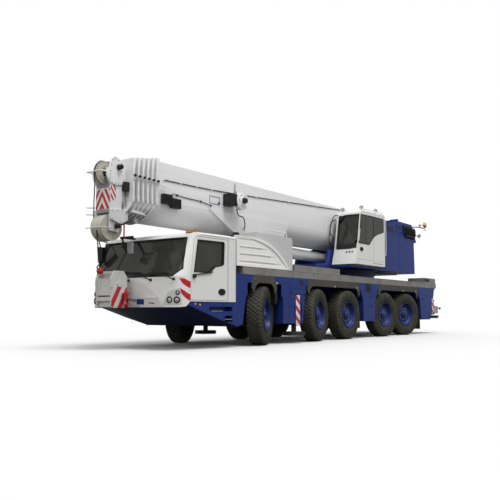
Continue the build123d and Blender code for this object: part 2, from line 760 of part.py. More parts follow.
def cabinet():
    """Side cabinet: tall at the rear with a rounded end, low beside the cab, and its fairing."""
    inner, outer = CABINET_INNER, CABINET_OUTER
    middle = CABINET_REAR + CABINET_ROUND
    side = block(middle, CABINET_STEP, inner, outer, DECK_TOP, CABINET_TOP)
    side += block(CABINET_REAR, middle + MERGE, inner, outer, DECK_TOP, CABINET_TOP - CABINET_ROUND)
    side += rod_y(middle, CABINET_TOP - CABINET_ROUND, CABINET_ROUND, inner, outer)
    side += block(CABINET_STEP - MERGE, CABINET_FRONT, inner, outer, DECK_TOP, CABINET_LOW)
    side += fairing(0, outer - MERGE, HALF_WIDTH)
    face = HALF_WIDTH - FAIRING_SINK
    side -= fairing(FAIRING_RIM, face, HALF_WIDTH + 10)
    front = FAIRING_FRONT - FAIRING_RIM - 60
    for z, rear in FAIRING_GROOVES:
        low = z - GROOVE_HEIGHT / 2
        side -= block(rear, front, face - GROOVE_DEPTH, HALF_WIDTH, low, low + GROOVE_HEIGHT)
    return side


def deck_housings():
    """Cabinets on both sides with their curved fairings, and the low hood between them."""
    side = cabinet()
    hood = block(3000, CABINET_FRONT, -HOOD_HALF, HOOD_HALF, DECK_TOP, HOOD_TOP)
    hood -= block(3040, CABINET_FRONT - 40, -HOOD_HALF + 40, HOOD_HALF - 40, DECK_TOP - 10, HOOD_TOP - 40)
    return side, across(side), hood


# Superstructure

CHEEK = [
    (450, PLATFORM_TOP - MERGE),
    (450, PLATFORM_TOP),
    (-150, 2180),
    (-300, 2620),
    (-900, 2620),
    (-3400, 3400),
    (-4100, 3720),
    (-4700, 3600),
    (-4950, 3000),
    (-4950, PLATFORM_TOP - MERGE),
]
HOUSING = [
    (-2780, PLATFORM_TOP - 20),
    (-2810, 3560),
    (-3800, 3770),
    (-4960, 3760),
    (-5340, 3180),
    (-5110, 3130),
    (-5140, PLATFORM_TOP - 20),
]
WINCH_ARM = [(-4900, 2400), (-5400, WINCH_Z - 60), (-5400, WINCH_Z + 60), (-4900, WINCH_Z + 200)]


def turntable():
    side = block(-5140, -400, PLATFORM_HALF - MERGE, HOUSING_OUTER, PLATFORM_BOTTOM + 20, PLATFORM_TOP - 10)
    side += slab(CHEEK, CHEEK_INNER, CHEEK_INNER + CHEEK_THICK)
    side += slab(HOUSING, HOUSING_INNER, HOUSING_OUTER)
    near, far = CHEEK_INNER + CHEEK_THICK - MERGE, HOUSING_INNER + MERGE
    side += block(PIVOT_X + 100, PIVOT_X + 1400, near, far, PLATFORM_TOP + 160, PIVOT_Z + 50)
    side += slab(WINCH_ARM, WINCH_HALF + 60, WINCH_HALF + 120)
    frame = block(-5150, 450, -PLATFORM_HALF, PLATFORM_HALF, PLATFORM_BOTTOM, PLATFORM_TOP)
    frame += rod_z(SLEW_X, 0, RING_RADIUS, RING_MOUNT_TOP + RUN_GAP, PLATFORM_BOTTOM + MERGE)
    frame += side + across(side)
    frame += rod_y(WINCH_X, WINCH_Z, WINCH_RADIUS - 90, -WINCH_HALF - 70, WINCH_HALF + 70)
    for y in (-WINCH_HALF - 40, WINCH_HALF):
        frame += rod_y(WINCH_X, WINCH_Z, WINCH_RADIUS, y, y + 40)
    low, high = PLATFORM_TOP - MERGE, FOOT_Z + 60
    ear = [(FOOT_X - 250, low), (FOOT_X - 80, high), (FOOT_X + 80, high), (FOOT_X + 250, low)]
    foot = slab(ear, LUG_INNER, LUG_INNER + LUG_THICK)
    return frame + foot + across(foot)


OPCAB_PROFILE = [
    (-400, OPCAB_BOTTOM),
    (-560, 2590),
    (-780, 3690),
    (-900, 3760),
    (-2400, 3780),
    (-2440, 3700),
    (-2400, OPCAB_BOTTOM),
]
OPCAB_WINDOWS = [
    [(-880, 3600), (-650, 2790), (-1320, 2790), (-1480, 2950), (-1560, 3060), (-1560, 3600)],
    [(-1640, 3600), (-1640, 3130), (-1900, 3240), (-2300, 3300), (-2300, 3600)],
]
OPCAB_SCREEN_LOW = 2620.0
OPCAB_SCREEN_HIGH = 3630.0


def opcab_screen(grow):
    """Opening for the crane cab's front glass."""
    y0, y1 = OPCAB_INNER + 50, OPCAB_OUTER - 50
    low, high = OPCAB_SCREEN_LOW, OPCAB_SCREEN_HIGH
    return facing([(y0, low), (y1, low), (y1, high), (y0, high)], -950, -380, grow)


def crane_cab():
    shell = slab(OPCAB_PROFILE, OPCAB_INNER, OPCAB_OUTER)
    shell -= slab(OPCAB_PROFILE, OPCAB_INNER + OPCAB_WALL, OPCAB_OUTER - OPCAB_WALL, -OPCAB_WALL)
    for window in OPCAB_WINDOWS:
        shell -= slab(window, OPCAB_INNER - 10, OPCAB_OUTER + 10)
    foot = block(-2300, -600, OPCAB_INNER + 100, HOUSING_OUTER - 50, PLATFORM_TOP - 10, OPCAB_BOTTOM + MERGE)
    return shell - opcab_screen(0) + foot


def crane_cab_glazing():
    y = OPCAB_OUTER - 25
    panes = [slab(window, y, y + GLASS, -0.3) for window in OPCAB_WINDOWS]
    layer = slab(OPCAB_PROFILE, OPCAB_INNER, OPCAB_OUTER, -GLASS_INSET)
    layer -= slab(OPCAB_PROFILE, OPCAB_INNER - 1, OPCAB_OUTER + 1, -GLASS_INSET - GLASS)
    panes.append(layer & opcab_screen(-0.3))
    return panes


def crane_cab_trim():
    """Operator's seat with its two control consoles."""
    y = (OPCAB_INNER + OPCAB_OUTER) / 2
    z = OPCAB_BOTTOM + OPCAB_WALL
    seat = block(-1900, -1500, y - 150, y + 150, z, z + 310)
    seat += block(-1950, -1420, y - 240, y + 240, z + 300, z + 420)
    seat += slab([(-2080, z + 410), (-1940, z + 410), (-2010, z + 1150), (-2120, z + 1150)], y - 230, y + 230)
    reach = (OPCAB_OUTER - OPCAB_INNER) / 2 - OPCAB_WALL - 67.5
    for arm in (y - reach, y + reach):
        seat += block(-1750, -1330, arm - 40, arm + 40, z + 400, z + 560)
    return seat


# Boom


def boom_bar(x0, x1, shrink):
    """Solid with the boom's outline, made smaller all round: flat top, rounded belly."""
    half, top, bottom = BOOM_HALF - shrink, BOOM_TOP - shrink, BOOM_BOTTOM + shrink
    with BuildSketch() as sketch:
        with BuildLine():
            belly = ThreePointArc((-half, bottom + half), (0, bottom), (half, bottom + half))
            Polyline(belly @ 1, (half, top), (-half, top), belly @ 0)
        make_face()
    face = Plane((x0, 0, 0), x_dir=(0, 1, 0), z_dir=(1, 0, 0)) * sketch.sketch
    return extrude(face, amount=x1 - x0, dir=(1, 0, 0))


def leaning(rear, front, index):
    """Space between two fronts that lean forward at the belly; rear may be None."""
    high, low = BOOM_TOP + 100, BOOM_BOTTOM - 60
    lean = (COLLAR_LEAN - index * LEAN_STEP) * (LEAN_TOP - low) / (LEAN_TOP - BOOM_BOTTOM)
    outline = [(front, high), (front, LEAN_TOP), (front + lean, low)]
    if rear is None:
        outline += [(BOOM_TAIL - 100, low), (BOOM_TAIL - 100, high)]
    else:
        outline += [(rear + lean, low), (rear, LEAN_TOP), (rear, high)]
    return slab(outline, -BOOM_HALF - 100, BOOM_HALF + 100)


def section(index):
    """One telescopic part: tube, and the collar that guides the next one."""
    shrink = index * SECTION_STEP
    tail = BOOM_TAIL + index * TAIL_STEP
    mouth = BOOM_FRONT + index * COLLAR_PITCH
    far = mouth + COLLAR_LEAN + 100
    tube = boom_bar(tail, far, shrink) - boom_bar(tail - 10, far + 10, shrink + BOOM_WALL)
    tube = tube & leaning(None, mouth + COLLAR_THICK, index)
    if index < SECTION_COUNT - 1:
        collar = boom_bar(mouth - 10, far, index * COLLAR_TAPER - COLLAR_PROUD)
        collar -= boom_bar(mouth - 20, far + 10, shrink + SECTION_STEP - RUN_GAP)
        tube += collar & leaning(mouth, mouth + COLLAR_THICK, index)
    return tube


def boom_base():
    """Fixed boom part with its pivot boss, side plates and the ears over the luffing cylinder."""
    tail = [
        (BOOM_TAIL - 20, BOOM_TOP + 20),
        (-3900, BOOM_TOP + 20),
        (-3900, BOOM_TOP - 1),
        (BOOM_TAIL - 20, 3640),
    ]
    base = section(0) - slab(tail, -BOOM_HALF - 10, BOOM_HALF + 10)
    low = BOOM_BOTTOM + 40
    side = slab([(5060, 3130), (4120, low), (2000, low), (1700, 3130)], 300, BOOM_HALF + 20)
    ear = [
        (LUG_X + 330, low + 100),
        (LUG_X + 150, LUG_Z - LUG_BELOW),
        (LUG_X - 130, LUG_Z - LUG_BELOW),
        (LUG_X - 260, low + 100),
    ]
    side += slab(ear, LUG_INNER, LUG_INNER + LUG_THICK)
    side += rod_y(PIVOT_X, PIVOT_Z, PIVOT_RADIUS + 120, BOOM_HALF - MERGE, CHEEK_INNER - RUN_GAP)
    side -= boom_bar(BOOM_TAIL - 10, BOOM_FRONT, BOOM_WALL / 2)
    return base + side + across(side)


HEAD_SIDE = [
    (7660, 3680),
    (7900, 3620),
    (7900, 3480),
    (HEAD_FRONT, 3280),
    (HEAD_FRONT, 2790),
    (LOWER_SHEAVE_X + 110, 2640),
    (LOWER_SHEAVE_X + 110, LOWER_SHEAVE_Z - 70),
    (LOWER_SHEAVE_X - 130, LOWER_SHEAVE_Z - 100),
    (7500, 2560),
    (7500, 3560),
]


def sheaves(x, z, radius, half, count):
    """Row of grooved sheaves on one axis across the crane, turned as one body."""
    pitch = 2 * half / count
    outline = [(-half, 0)]
    for index in range(count):
        y = index * pitch - half
        bed = radius - GROOVE_SINK
        outline += [(y, radius), (y + SHEAVE_RIM, radius), (y + 0.4 * pitch, bed)]
        outline += [(y + 0.6 * pitch, bed), (y + pitch - SHEAVE_RIM, radius)]
    outline += [(half, radius), (half, 0)]
    flat = make_face(Polyline(outline, close=True))
    face = Plane((x, 0, z), x_dir=(0, 1, 0), z_dir=(1, 0, 0)) * flat
    return revolve(face, axis=Axis((x, 0, z), (0, 1, 0)))


def boom_head():
    """Last telescopic part with its head plates, front panel and two groups of sheaves."""
    index = SECTION_COUNT - 1
    shrink = index * SECTION_STEP
    mouth = BOOM_FRONT + index * COLLAR_PITCH + COLLAR_THICK
    inner = HEAD_HALF - HEAD_PLATE
    plate = slab(HEAD_SIDE, inner, HEAD_HALF)
    head = plate + across(plate)
    head += block(mouth - 10, mouth + 60, -HEAD_HALF, HEAD_HALF, LEAN_TOP + 20, BOOM_TOP - shrink - 60)
    head += block(HEAD_FRONT - 30, HEAD_FRONT, -HEAD_HALF, HEAD_HALF, 2800, 3240)
    head += sheaves(LOWER_SHEAVE_X, LOWER_SHEAVE_Z, LOWER_SHEAVE_RADIUS, SHEAVE_HALF, 3)
    head += rod_y(LOWER_SHEAVE_X, LOWER_SHEAVE_Z, 60, -HEAD_HALF, HEAD_HALF)
    head += sheaves(TOP_SHEAVE_X, TOP_SHEAVE_Z, TOP_SHEAVE_RADIUS, TOP_SHEAVE_HALF, 1)
    head += rod_y(TOP_SHEAVE_X, TOP_SHEAVE_Z, 50, -HEAD_HALF, HEAD_HALF)
    keeper = TOP_SHEAVE_X + TOP_SHEAVE_RADIUS + KEEPER_GAP + 2 * ROPE_RADIUS - KEEPER_RADIUS
    head += rod_y(keeper, TOP_SHEAVE_Z, KEEPER_RADIUS, -HEAD_HALF, HEAD_HALF)
    low, high = TOP_SHEAVE_Z - KEEPER_RADIUS, TOP_SHEAVE_Z + KEEPER_RADIUS
    arm = block(TOP_SHEAVE_X + KEEPER_ARM, keeper, inner, HEAD_HALF, low, high)
    head += arm + across(arm)
    return section(index) + head


def cylinder_place():
    """Place of the luffing cylinder: its foot, with +X towards the rod's eye."""
    return Pos(FOOT_X, 0, FOOT_Z) * Rot(0, -degrees(atan2(LUG_Z - FOOT_Z, LUG_X - FOOT_X)), 0)


def luffing_cylinder():
    """Barrel on its foot eye, and the rod with its eye between the boom's ears."""
    length = hypot(LUG_X - FOOT_X, LUG_Z - FOOT_Z)
    half = LUG_INNER - RUN_GAP
    mouth = length - BARREL_SHORT
    bore = rod_x(FOOT_RADIUS + 90, mouth + 10, 0, 0, ROD_RADIUS + RUN_GAP)
    barrel = rod_x(0, mouth, 0, 0, BARREL_RADIUS) - bore
    barrel -= rod_y(0, 0, FOOT_RADIUS + 90, half, BARREL_RADIUS + 10)
    barrel -= rod_y(0, 0, FOOT_RADIUS + 90, -BARREL_RADIUS - 10, -half)
    barrel += rod_y(0, 0, FOOT_RADIUS, -half, half)
    rod = rod_x(FOOT_RADIUS + 110, length, 0, 0, ROD_RADIUS)
    rod += rod_y(length, 0, EYE_RADIUS, -half, half)
    return cylinder_place() * barrel, cylinder_place() * rod


BLOCK_CHEEKS = [
    (BLOCK_X + 200, BLOCK_BOTTOM + 60),
    (BLOCK_X + 220, BLOCK_TOP - 160),
    (BLOCK_X + 120, BLOCK_TOP),
    (BLOCK_X - 120, BLOCK_TOP),
    (BLOCK_X - 215, BLOCK_TOP - 120),
    (BLOCK_X - 215, BLOCK_BOTTOM + 60),
    (BLOCK_X - 160, BLOCK_BOTTOM),
    (BLOCK_X + 140, BLOCK_BOTTOM),
]


def hook():
    """Open hook on its shank, with the trunnion that carries it beside the block."""
    with BuildLine() as bow:
        CenterArc((0, 0), HOOK_THROAT, 90, 250)
    path = bow.line
    ring = sweep(Plane(origin=path @ 0, z_dir=path % 0) * Circle(HOOK_THICK), path=path)
    low = HOOK_Z + HOOK_THROAT
    shank = rod_z(HOOK_X, HOOK_Y, HOOK_THICK, low - HOOK_THICK, low + 110)
    near = BLOCK_Y + BLOCK_HALF - MERGE
    trunnion = block(HOOK_X - 40, HOOK_X + 40, near, HOOK_Y + HOOK_THICK + 10, low + 70, low + 120)
    return Pos(HOOK_X, HOOK_Y, HOOK_Z) * Rot(0, 0, 35) * Rot(90, 0, 0) * ring + shank + trunnion


def hook_block():
    """Two cheek plates round three sheaves, a front cover, a stepped cross head and the rope's becket."""
    y0, y1 = BLOCK_Y - BLOCK_HALF, BLOCK_Y + BLOCK_HALF
    body = slab(BLOCK_CHEEKS, y0, y0 + BLOCK_CHEEK) + slab(BLOCK_CHEEKS, y1 - BLOCK_CHEEK, y1)
    half = BLOCK_HALF - BLOCK_CHEEK + MERGE
    body += Pos(0, BLOCK_Y, 0) * sheaves(BLOCK_X, BLOCK_SHEAVE_Z, BLOCK_SHEAVE_RADIUS, half, 3)
    body += rod_y(BLOCK_X, BLOCK_SHEAVE_Z, 55, y0 - 20, y1 + 20)
    y0, y1 = y0 + MERGE, y1 - MERGE
    front = BLOCK_X + 205
    body += block(front - BLOCK_COVER, front, y0, y1, BLOCK_BOTTOM + 250, BLOCK_TOP - 160)
    body += block(BLOCK_X + 40, BLOCK_X + 120, y0, y1, BLOCK_TOP - 70, BLOCK_TOP - 10)
    body += block(BLOCK_X + 100, SOCKET_X, SOCKET_Y - 18, SOCKET_Y + 18, BLOCK_TOP - 65, BLOCK_TOP - 15)
    low = BLOCK_BOTTOM + 20
    body += block(BLOCK_X - 130, BLOCK_X + 150, y0, y1, low, low + 130)
    return body + block(BLOCK_X - 60, front, y0, y1, low + 120, low + 200)


def hook_line():
    """Hoist rope that leaves the lower sheaves along a tangent, its socket, and the hook block."""
    radius = LOWER_SHEAVE_RADIUS - GROOVE_SINK + RUN_GAP + ROPE_RADIUS
    across_x, across_z = SOCKET_X - LOWER_SHEAVE_X, SOCKET_Z - LOWER_SHEAVE_Z
    angle = atan2(across_z, across_x) + acos(radius / hypot(across_x, across_z))
    start = Vector(LOWER_SHEAVE_X + radius * cos(angle), 0, LOWER_SHEAVE_Z + radius * sin(angle))
    end = Vector(SOCKET_X, SOCKET_Y, SOCKET_Z)
    run = end - start
    rope = extrude(Plane(origin=start, z_dir=run) * Circle(ROPE_RADIUS), amount=run.length)
    return rope + Pos(*end) * Sphere(SOCKET_RADIUS) + hook_block() + hook()


os.makedirs("parts", exist_ok=True)
beams, engine = driveline()
left_door = cab_door()
barrel, rod = luffing_cylinder()
wheels()
save("driveline", *beams, engine)
save("chassis_frame", *chassis_frame())
save("deck", deck())
save("mudguards", *mudguards())
outriggers()
save("cab_shell", cab_shell())
save("cab_door_left", left_door)
save("cab_door_right", across(left_door))
save("cab_glazing", cab_glazing())
save("cab_trim", *cab_trim())
save("deck_housings", *deck_housings())
save("turntable", turntable())
save("crane_cab", crane_cab())
save("crane_cab_glazing", *crane_cab_glazing())
save("crane_cab_trim", crane_cab_trim())
save("boom_base", boom_base())
for index in range(1, SECTION_COUNT - 1):
    save(f"boom_section_{index + 1}", section(index))
save(f"boom_section_{SECTION_COUNT}", boom_head())
save("luffing_barrel", barrel)
save("luffing_rod", rod)
save("hook_line", hook_line())
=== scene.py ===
import json
import math

import bmesh
import bpy
import numpy as np
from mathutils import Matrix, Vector


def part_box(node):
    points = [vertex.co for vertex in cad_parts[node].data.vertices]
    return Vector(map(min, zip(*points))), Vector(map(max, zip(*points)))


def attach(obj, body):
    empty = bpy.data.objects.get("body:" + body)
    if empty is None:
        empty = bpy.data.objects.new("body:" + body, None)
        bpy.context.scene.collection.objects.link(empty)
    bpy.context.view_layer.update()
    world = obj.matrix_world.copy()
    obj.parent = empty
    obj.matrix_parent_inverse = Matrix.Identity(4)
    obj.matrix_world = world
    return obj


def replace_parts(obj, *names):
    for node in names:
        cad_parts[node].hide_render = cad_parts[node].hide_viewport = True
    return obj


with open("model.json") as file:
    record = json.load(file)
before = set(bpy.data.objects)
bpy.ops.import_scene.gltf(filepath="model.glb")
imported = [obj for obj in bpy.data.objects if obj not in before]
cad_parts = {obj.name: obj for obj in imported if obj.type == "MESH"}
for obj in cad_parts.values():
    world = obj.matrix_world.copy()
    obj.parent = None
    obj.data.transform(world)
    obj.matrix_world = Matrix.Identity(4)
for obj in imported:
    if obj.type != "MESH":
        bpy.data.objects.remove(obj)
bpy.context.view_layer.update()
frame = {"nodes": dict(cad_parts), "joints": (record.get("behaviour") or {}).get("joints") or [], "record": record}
nodes = frame["nodes"]
joints = {joint["name"]: joint for joint in frame["joints"]}
print("frame loaded")

# places are written as metres ahead of the third axle, to the left, and above the ground
axleX = -0.5035  # third axle in the frame
halfWidth = 1.375
sides = (1, -1)
topSheave = (7.79, 3.55)  # station and height of the head's upper and lower sheave pins
lowSheave = (7.70, 2.45)

# the camera, at the photograph's place and angle
view = {"place": (15.8640, 9.9917, 0.7909), "heading": 216.462, "pitch": 5.3656, "focal": 648.239}


def placeCamera():
    data = bpy.data.cameras.new("camera")
    data.sensor_width = 36.0
    data.lens = view["focal"] / 500.0 * data.sensor_width  # focal length over the photograph's 500 pixels
    data.clip_end = 400.0
    camera = bpy.data.objects.new("camera", data)
    bpy.context.scene.collection.objects.link(camera)
    heading, pitch = math.radians(view["heading"]), math.radians(view["pitch"])
    level = math.cos(pitch)
    ahead = Vector((level * math.cos(heading), level * math.sin(heading), math.sin(pitch)))
    camera.location = view["place"]
    camera.rotation_mode = "QUATERNION"
    camera.rotation_quaternion = ahead.to_track_quat("-Z", "Y")
    bpy.context.scene.camera = camera


placeCamera()
print("camera placed")


# shader building: a Wire is a value that runs through the node tree, and sums on Wires add Math nodes
class Wire:
    def __init__(self, board, socket):
        self.board, self.socket = board, socket

    def maths(self, operation, *others):
        inputs = {0: self}
        inputs.update({index + 1: other for index, other in enumerate(others)})
        return self.board.node("ShaderNodeMath", {"operation": operation}, inputs)[0]

    def __add__(self, other):
        return self.maths("ADD", other)

    __radd__ = __add__

    def __sub__(self, other):
        return self.maths("SUBTRACT", other)

    def __rsub__(self, other):
        return self.board.number("SUBTRACT", other, self)

    def __mul__(self, other):
        return self.maths("MULTIPLY", other)

    __rmul__ = __mul__

    def __truediv__(self, other):
        return self.maths("DIVIDE", other)

    def __gt__(self, other):
        return self.maths("GREATER_THAN", other)

    def __lt__(self, other):
        return self.maths("LESS_THAN", other)

    def wave(self):
        return self.maths("SINE")

    def size(self):
        return self.maths("ABSOLUTE")

    def part(self):
        return self.maths("FRACT")

    def least(self, other):
        return self.maths("MINIMUM", other)

    def most(self, other):
        return self.maths("MAXIMUM", other)

    # 0 below low, 1 above high, smooth between
    def ramp(self, low, high):
        inputs = {"Value": self, "From Min": low, "From Max": high}
        return self.board.node("ShaderNodeMapRange", {"interpolation_type": "SMOOTHSTEP"}, inputs)[0]


class Board:
    def __init__(self, name):
        self.material = bpy.data.materials.new(name)
        self.material.use_nodes = True
        self.tree = self.material.node_tree
        self.tree.nodes.clear()
        self.output = self.tree.nodes.new("ShaderNodeOutputMaterial")
        self.place = self.node("ShaderNodeTexCoord")["Object"]
        parts = self.node("ShaderNodeSeparateXYZ", {}, {0: self.place})
        self.x, self.y, self.z = parts["X"] - axleX, parts["Y"], parts["Z"]

    def node(self, kind, settings=None, inputs=None):
        made = self.tree.nodes.new(kind)
        for key, value in (settings or {}).items():
            setattr(made, key, value)
        for key, value in (inputs or {}).items():
            if isinstance(value, Wire):
                self.tree.links.new(value.socket, made.inputs[key])
            else:
                made.inputs[key].default_value = value
        wires = {index: Wire(self, socket) for index, socket in enumerate(made.outputs)}
        wires.update({socket.name: Wire(self, socket) for socket in made.outputs if socket.enabled})
        return wires

    def number(self, operation, first, second):
        return self.node("ShaderNodeMath", {"operation": operation}, {0: first, 1: second})[0]

    def noise(self, scale, detail=2.0, rough=0.5, stretch=None):
        place = self.place
        if stretch:
            place = self.node("ShaderNodeVectorMath", {"operation": "MULTIPLY"}, {0: place, 1: stretch})[0]
        values = {"Vector": place, "Scale": scale, "Detail": detail, "Roughness": rough}
        return self.node("ShaderNodeTexNoise", {}, values)["Fac"]

    # first where share is 0, second where it is 1
    def mix(self, share, first, second):
        ends = {6: first, 7: second}
        inputs = {key: value if isinstance(value, Wire) else (*value, 1.0) for key, value in ends.items()}
        inputs[0] = share
        return self.node("ShaderNodeMix", {"data_type": "RGBA"}, inputs)[2]

    # 1 within a distance of the middle plane
    def near(self, half):
        return (self.y > -half) * (self.y < half)

    # 1 inside a round of stations and heights
    def disc(self, x, z, radius):
        across, up = self.x - x, self.z - z
        return across * across + up * up < radius * radius

    def bump(self, height, strength, distance):
        return self.node("ShaderNodeBump", {},
                         {"Height": height, "Strength": strength, "Distance": distance})[0]

    def surface(self, colour, roughness, metallic=0.0, normal=None, **sockets):
        inputs = {"Base Color": colour if isinstance(colour, Wire) else (*colour, 1.0)}
        inputs.update({"Roughness": roughness, "Metallic": metallic})
        if normal is not None:
            inputs["Normal"] = normal
        inputs.update(sockets)
        shader = self.node("ShaderNodeBsdfPrincipled", {}, inputs)[0]
        self.tree.links.new(shader.socket, self.output.inputs["Surface"])
        return self.material


# colours, as light that comes back from the paint
blue = (0.010, 0.031, 0.180)
white = (0.73, 0.73, 0.715)
boomWhite = (0.84, 0.845, 0.84)
signalRed = (0.50, 0.010, 0.014)
plateGround = (0.72, 0.72, 0.70)
road = (0.16, 0.145, 0.12)


# sprayed paint: faint clouds, fine peel, rain streaks on upright faces, road dust low on the machine, and painted
# shade on its low downward faces
def paintLayers(board, colour, vary, grime, dustTop):
    clouds = board.noise(0.8, 3.0, 0.6)
    streaks = board.noise(7.0, 3.0, 0.6, (1.0, 1.0, 0.12))
    spots = board.noise(28.0, 2.0, 0.7)
    low = 1.0 - board.z.ramp(0.25, dustTop)
    dust = ((board.noise(4.0, 5.0, 0.65) - 0.3) * 2.5).least(1.0).most(0.0) * low * grime
    wear = (clouds - 0.5).size() * vary * 2.0 + (streaks - 0.4).most(0.0) * vary
    wear = wear + (spots - 0.62).most(0.0) * vary
    # painted shade: faces that look down, low on the machine, darkened towards navy
    facing = board.node("ShaderNodeSeparateXYZ", {},
                        {0: board.node("ShaderNodeNewGeometry")["True Normal"]})["Z"]
    paintedUnderShade = (1.0 - facing.ramp(-0.75, -0.12)) * (1.0 - board.z.ramp(1.2, 1.6)) * 0.75
    if isinstance(colour, Wire):
        base = board.mix(wear, colour, (0.05, 0.05, 0.05))
    else:
        base = board.mix(wear, colour, tuple(part * 0.55 for part in colour))
    base = board.mix(paintedUnderShade, base, (0.004, 0.009, 0.034))
    return board.mix(dust, base, road), dust, clouds


def paint(name, colour, grime, rough=0.34, coat=0.12, vary=0.10, dustTop=1.4, gloss=0.35):
    board = Board(name)
    base, dust, clouds = paintLayers(board, colour, vary, grime, dustTop)
    peel = board.noise(140.0, 1.0)
    normal = board.bump(peel, 0.05, 0.002)
    more = {"Coat Weight": coat, "Coat Roughness": 0.15, "Specular IOR Level": gloss}
    return board.surface(base, rough + 0.35 * dust + 0.06 * clouds, 0.0, normal, **more)


# red bands on a pale ground that lean by slant for each metre of height
def stripeMaterial():
    slant, pitch = -1.2, 0.30
    board = Board("bandsUpright")
    stripe = ((board.x + board.z * slant) / pitch).part() > 0.5
    colour, dust, clouds = paintLayers(board, board.mix(stripe, plateGround, signalRed), 0.06, 0.2, 1.2)
    return board.surface(colour, 0.4 + 0.2 * dust, 0.0, board.bump(clouds, 0.03, 0.002),
                         **{"Coat Weight": 0.1})


# boom paint with long faint streaks from sliding and rain, and painted shade that darkens it towards its lower
# edge
def boomMaterial():
    board = Board("boomPaint")
    base, _, clouds = paintLayers(board, boomWhite, 0.10, 0.0, 1.4)
    streaks = board.noise(3.0, 4.0, 0.6, (0.15, 1.0, 3.0))
    rub = (streaks - 0.5).most(0.0) * 0.5
    base = board.mix(rub, base, (0.34, 0.345, 0.36))
    # painted shade: the boom's sides greyer towards their lower edge
    shade = (1.0 - board.z.ramp(2.55, 3.75)) * 0.45
    base = board.mix(shade, base, (0.36, 0.365, 0.375))
    lower = board.disc(*lowSheave, 0.285) * board.near(0.163)
    upper = board.disc(*topSheave, 0.245) * board.near(0.047)
    base = board.mix((lower + upper).least(1.0), base,
                     board.mix(clouds.ramp(0.3, 0.7), (0.50, 0.48, 0.40), (0.40, 0.38, 0.31)))
    normal = board.bump(board.noise(90.0, 2.0), 0.05, 0.002)
    return board.surface(base, 0.38 + 0.1 * clouds, 0.0, normal,
                         **{"Coat Weight": 0.1, "Specular IOR Level": 0.4})


# fairings in white, and the cabinets behind them darker grey
def cabinetMaterial():
    board = Board("cabinetPaint")
    fairingPart = (board.y.size() > 1.29).most(0.0)
    colour = board.mix(fairingPart, (0.53, 0.53, 0.525), (0.84, 0.84, 0.83))
    base, dust, _ = paintLayers(board, colour, 0.05, 0.1, 1.9)
    return board.surface(base, 0.42 + 0.2 * dust, 0.0, board.bump(board.noise(120.0), 0.05, 0.002),
                         **{"Coat Weight": 0.08})


# aluminium deck: rows of short raised bars that turn from one to the next on its upper face, smooth edges
def deckMaterial():
    board = Board("deckMetal")
    step = 0.055
    across, along = board.y / step, board.x / step
    turn = (across * 0.5 + along * 0.5).part() > 0.5
    first = ((across + along) * math.pi).wave().size() * ((across - along) * math.pi * 0.5).wave().size()
    second = ((across - along) * math.pi).wave().size() * ((across + along) * math.pi * 0.5).wave().size()
    bars = (first * turn + second * (1.0 - turn)).ramp(0.55, 0.8)
    clouds = board.noise(2.2, 4.0, 0.6)
    scuffs = board.noise(14.0, 3.0, 0.7, (0.3, 1.0, 1.0))
    base = board.mix(clouds.ramp(0.3, 0.75), (0.27, 0.26, 0.245), (0.20, 0.193, 0.18))
    base = board.mix((scuffs - 0.55).most(0.0) * 1.6, base, (0.38, 0.37, 0.36))
    return board.surface(base, 0.48 + 0.2 * clouds, 0.25, board.bump(bars, 0.5, 0.004))


# moulded or rubber surfaces with fine grain and pale dust
def grained(name, colour, rough, grain, grime, shine=0.35):
    board = Board(name)
    clouds = board.noise(3.0, 4.0, 0.65)
    dust = (board.noise(6.0, 5.0, 0.7) - 0.42).most(0.0) * 2.0 * grime
    base = board.mix((clouds - 0.45).most(0.0) * 0.6, colour, tuple(part * 1.7 for part in colour))
    base = board.mix(dust.least(1.0), base, road)
    normal = board.bump(board.noise(grain, 2.0, 0.6), 0.2, 0.002)
    return board.surface(base, rough + 0.1 * clouds, 0.0, normal, **{"Specular IOR Level": shine})


# bare or painted metal with fine directional scratches
def metal(name, colour, rough, metallic, scratch=0.1):
    board = Board(name)
    fine = board.noise(60.0, 3.0, 0.7, (0.06, 1.0, 1.0))
    clouds = board.noise(5.0, 3.0, 0.6)
    base = board.mix((clouds - 0.4).most(0.0), colour, tuple(part * 0.6 for part in colour))
    normal = board.bump(fine, scratch, 0.001)
    return board.surface(base, rough + 0.12 * (fine - 0.5) + 0.08 * clouds, metallic, normal)


# tinted pane: dark, with faint cloudy tint and a faint sweep of dust
def glassMaterial():
    board = Board("tintedGlass")
    film = board.noise(1.2, 4.0, 0.6)
    smear = board.noise(9.0, 3.0, 0.6, (1.0, 0.25, 1.0))
    base = board.mix(film.ramp(0.3, 0.8), (0.022, 0.023, 0.020), (0.040, 0.040, 0.035))
    base = board.mix((smear - 0.6).most(0.0) * 0.3, base, (0.12, 0.12, 0.11))
    more = {"Coat Weight": 0.35, "Coat Roughness": 0.04, "Specular IOR Level": 0.35}
    return board.surface(base, 0.10 + 0.08 * film, 0.0, None, **more)


# clear, amber or mirror lenses with fine ribs
def lensMaterial(name, colour, rough, metallic, ribs):
    board = Board(name)
    lines = (board.z * ribs).wave()
    haze = board.noise(30.0, 2.0)
    base = board.mix(haze * 0.4, colour, tuple(part * 0.7 for part in colour))
    return board.surface(base, rough + 0.05 * haze, metallic, board.bump(lines, 0.25, 0.001),
                         **{"Coat Weight": 0.6})


# twisted wire rope: slanted lay lines
def ropeMaterial():
    board = Board("steelRope")
    lay = ((board.z + board.x * 0.6 + board.y * 0.6) * 260.0).wave()
    base = board.mix(lay.ramp(-0.4, 0.8), (0.018, 0.017, 0.016), (0.075, 0.07, 0.065))
    return board.surface(base, 0.5 + 0.1 * lay, 0.5, board.bump(lay, 0.8, 0.003))


